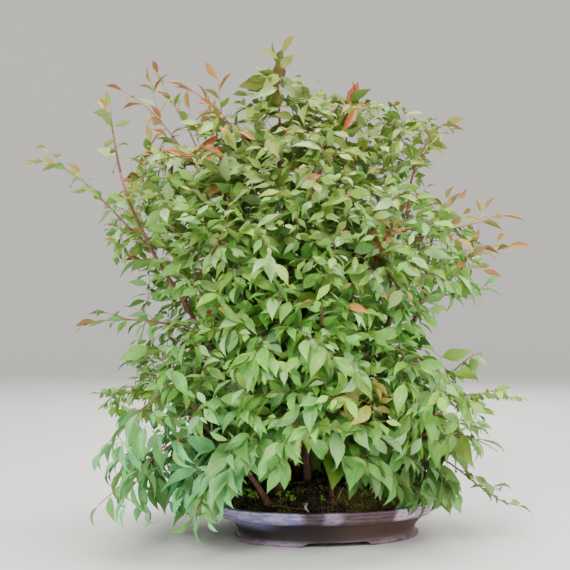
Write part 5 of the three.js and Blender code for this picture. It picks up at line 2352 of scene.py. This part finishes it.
class STEWARTIA_OT_studio(StewartiaOperator, bpy.types.Operator):
    """Make the pale floor, the soft lights and the camera"""

    bl_idname = "stewartia.studio"
    bl_label = "Studio"

    def execute(self, context):
        scene = context.scene
        studio = scene.stewartia_studio
        mesh = sweep_mesh("studio_floor")
        mesh.materials.append(floor_material(scene.stewartia_colours))
        floor = bpy.data.objects.new("studio_floor", mesh)
        floor.location.z = -FLOOR_GAP
        scene.collection.objects.link(floor)
        for name, (place, size, share) in LIGHTS.items():
            lamp = bpy.data.lights.new(name, "AREA")
            lamp.shape = "SQUARE"
            lamp.size = size
            lamp.energy = studio.light * share
            self.aim(bpy.data.objects.new(name, lamp), place, LIGHTS_AIM - Vector(place))
        world = bpy.data.worlds.new("studio_world")
        world.use_nodes = True
        background = world.node_tree.nodes["Background"].inputs
        background["Color"].default_value = opaque(SKY)
        background["Strength"].default_value = SKY_STRENGTH
        scene.world = world
        self.place_camera(scene, studio)
        return {"FINISHED"}

    def place_camera(self, scene, studio):
        """A level camera to the left of the middle, turned to look past the pot's left."""
        sight = Vector((math.sin(studio.turn), math.cos(studio.turn), 0))
        right = Vector((math.cos(studio.turn), -math.sin(studio.turn), 0))
        data = bpy.data.cameras.new("studio_camera")
        data.sensor_width = SENSOR_WIDTH
        data.lens = SENSOR_WIDTH * studio.distance / studio.view_width
        camera = bpy.data.objects.new("studio_camera", data)
        place = Vector(POT_MIDDLE) * MM - sight * studio.distance - right * studio.aside
        place.z = studio.height
        self.aim(camera, place, sight)
        scene.camera = camera

    @staticmethod
    def aim(thing, place, way):
        """Puts a lamp or a camera at a place, so that it looks along a way."""
        thing.location = place
        thing.rotation_mode = "QUATERNION"
        thing.rotation_quaternion = way.to_track_quat("-Z", "Y")
        bpy.context.scene.collection.objects.link(thing)


class STEWARTIA_PT_panel(bpy.types.Panel):
    """Lists the settings and pieces of the stewartia clump."""

    bl_label = "Stewartia Clump"
    bl_space_type = "VIEW_3D"
    bl_region_type = "UI"
    bl_category = "Bonsai"

    def draw(self, context):
        layout = self.layout
        scene = context.scene
        for settings in (
            scene.stewartia_leaves, scene.stewartia_wood, scene.stewartia_pot,
            scene.stewartia_studio, scene.stewartia_colours,
        ):
            box = layout.box()
            for name in settings.__annotations__:
                box.prop(settings, name)
        for operator in OPERATORS:
            layout.operator(operator.bl_idname)


OPERATORS = (
    STEWARTIA_OT_pot,
    STEWARTIA_OT_drain_meshes,
    STEWARTIA_OT_soil,
    STEWARTIA_OT_ground,
    STEWARTIA_OT_stems,
    STEWARTIA_OT_leaves,
    STEWARTIA_OT_studio,
)
SETTINGS = {
    "stewartia_colours": StewartiaColours,
    "stewartia_leaves": StewartiaLeaves,
    "stewartia_wood": StewartiaWood,
    "stewartia_pot": StewartiaPot,
    "stewartia_studio": StewartiaStudio,
}


def register():
    for each in (*SETTINGS.values(), *OPERATORS, STEWARTIA_PT_panel):
        bpy.utils.register_class(each)
    for name, group in SETTINGS.items():
        setattr(bpy.types.Scene, name, bpy.props.PointerProperty(type=group))


def unregister():
    for name in SETTINGS:
        delattr(bpy.types.Scene, name)
    for each in (STEWARTIA_PT_panel, *reversed(OPERATORS), *reversed(SETTINGS.values())):
        bpy.utils.unregister_class(each)


def main():
    register()
    bpy.ops.stewartia.pot()
    bpy.ops.stewartia.drain_meshes()
    bpy.ops.stewartia.soil()
    bpy.ops.stewartia.ground()
    bpy.ops.stewartia.stems()
    bpy.ops.stewartia.leaves()
    bpy.ops.stewartia.studio()


if __name__ == "__main__":
    main()
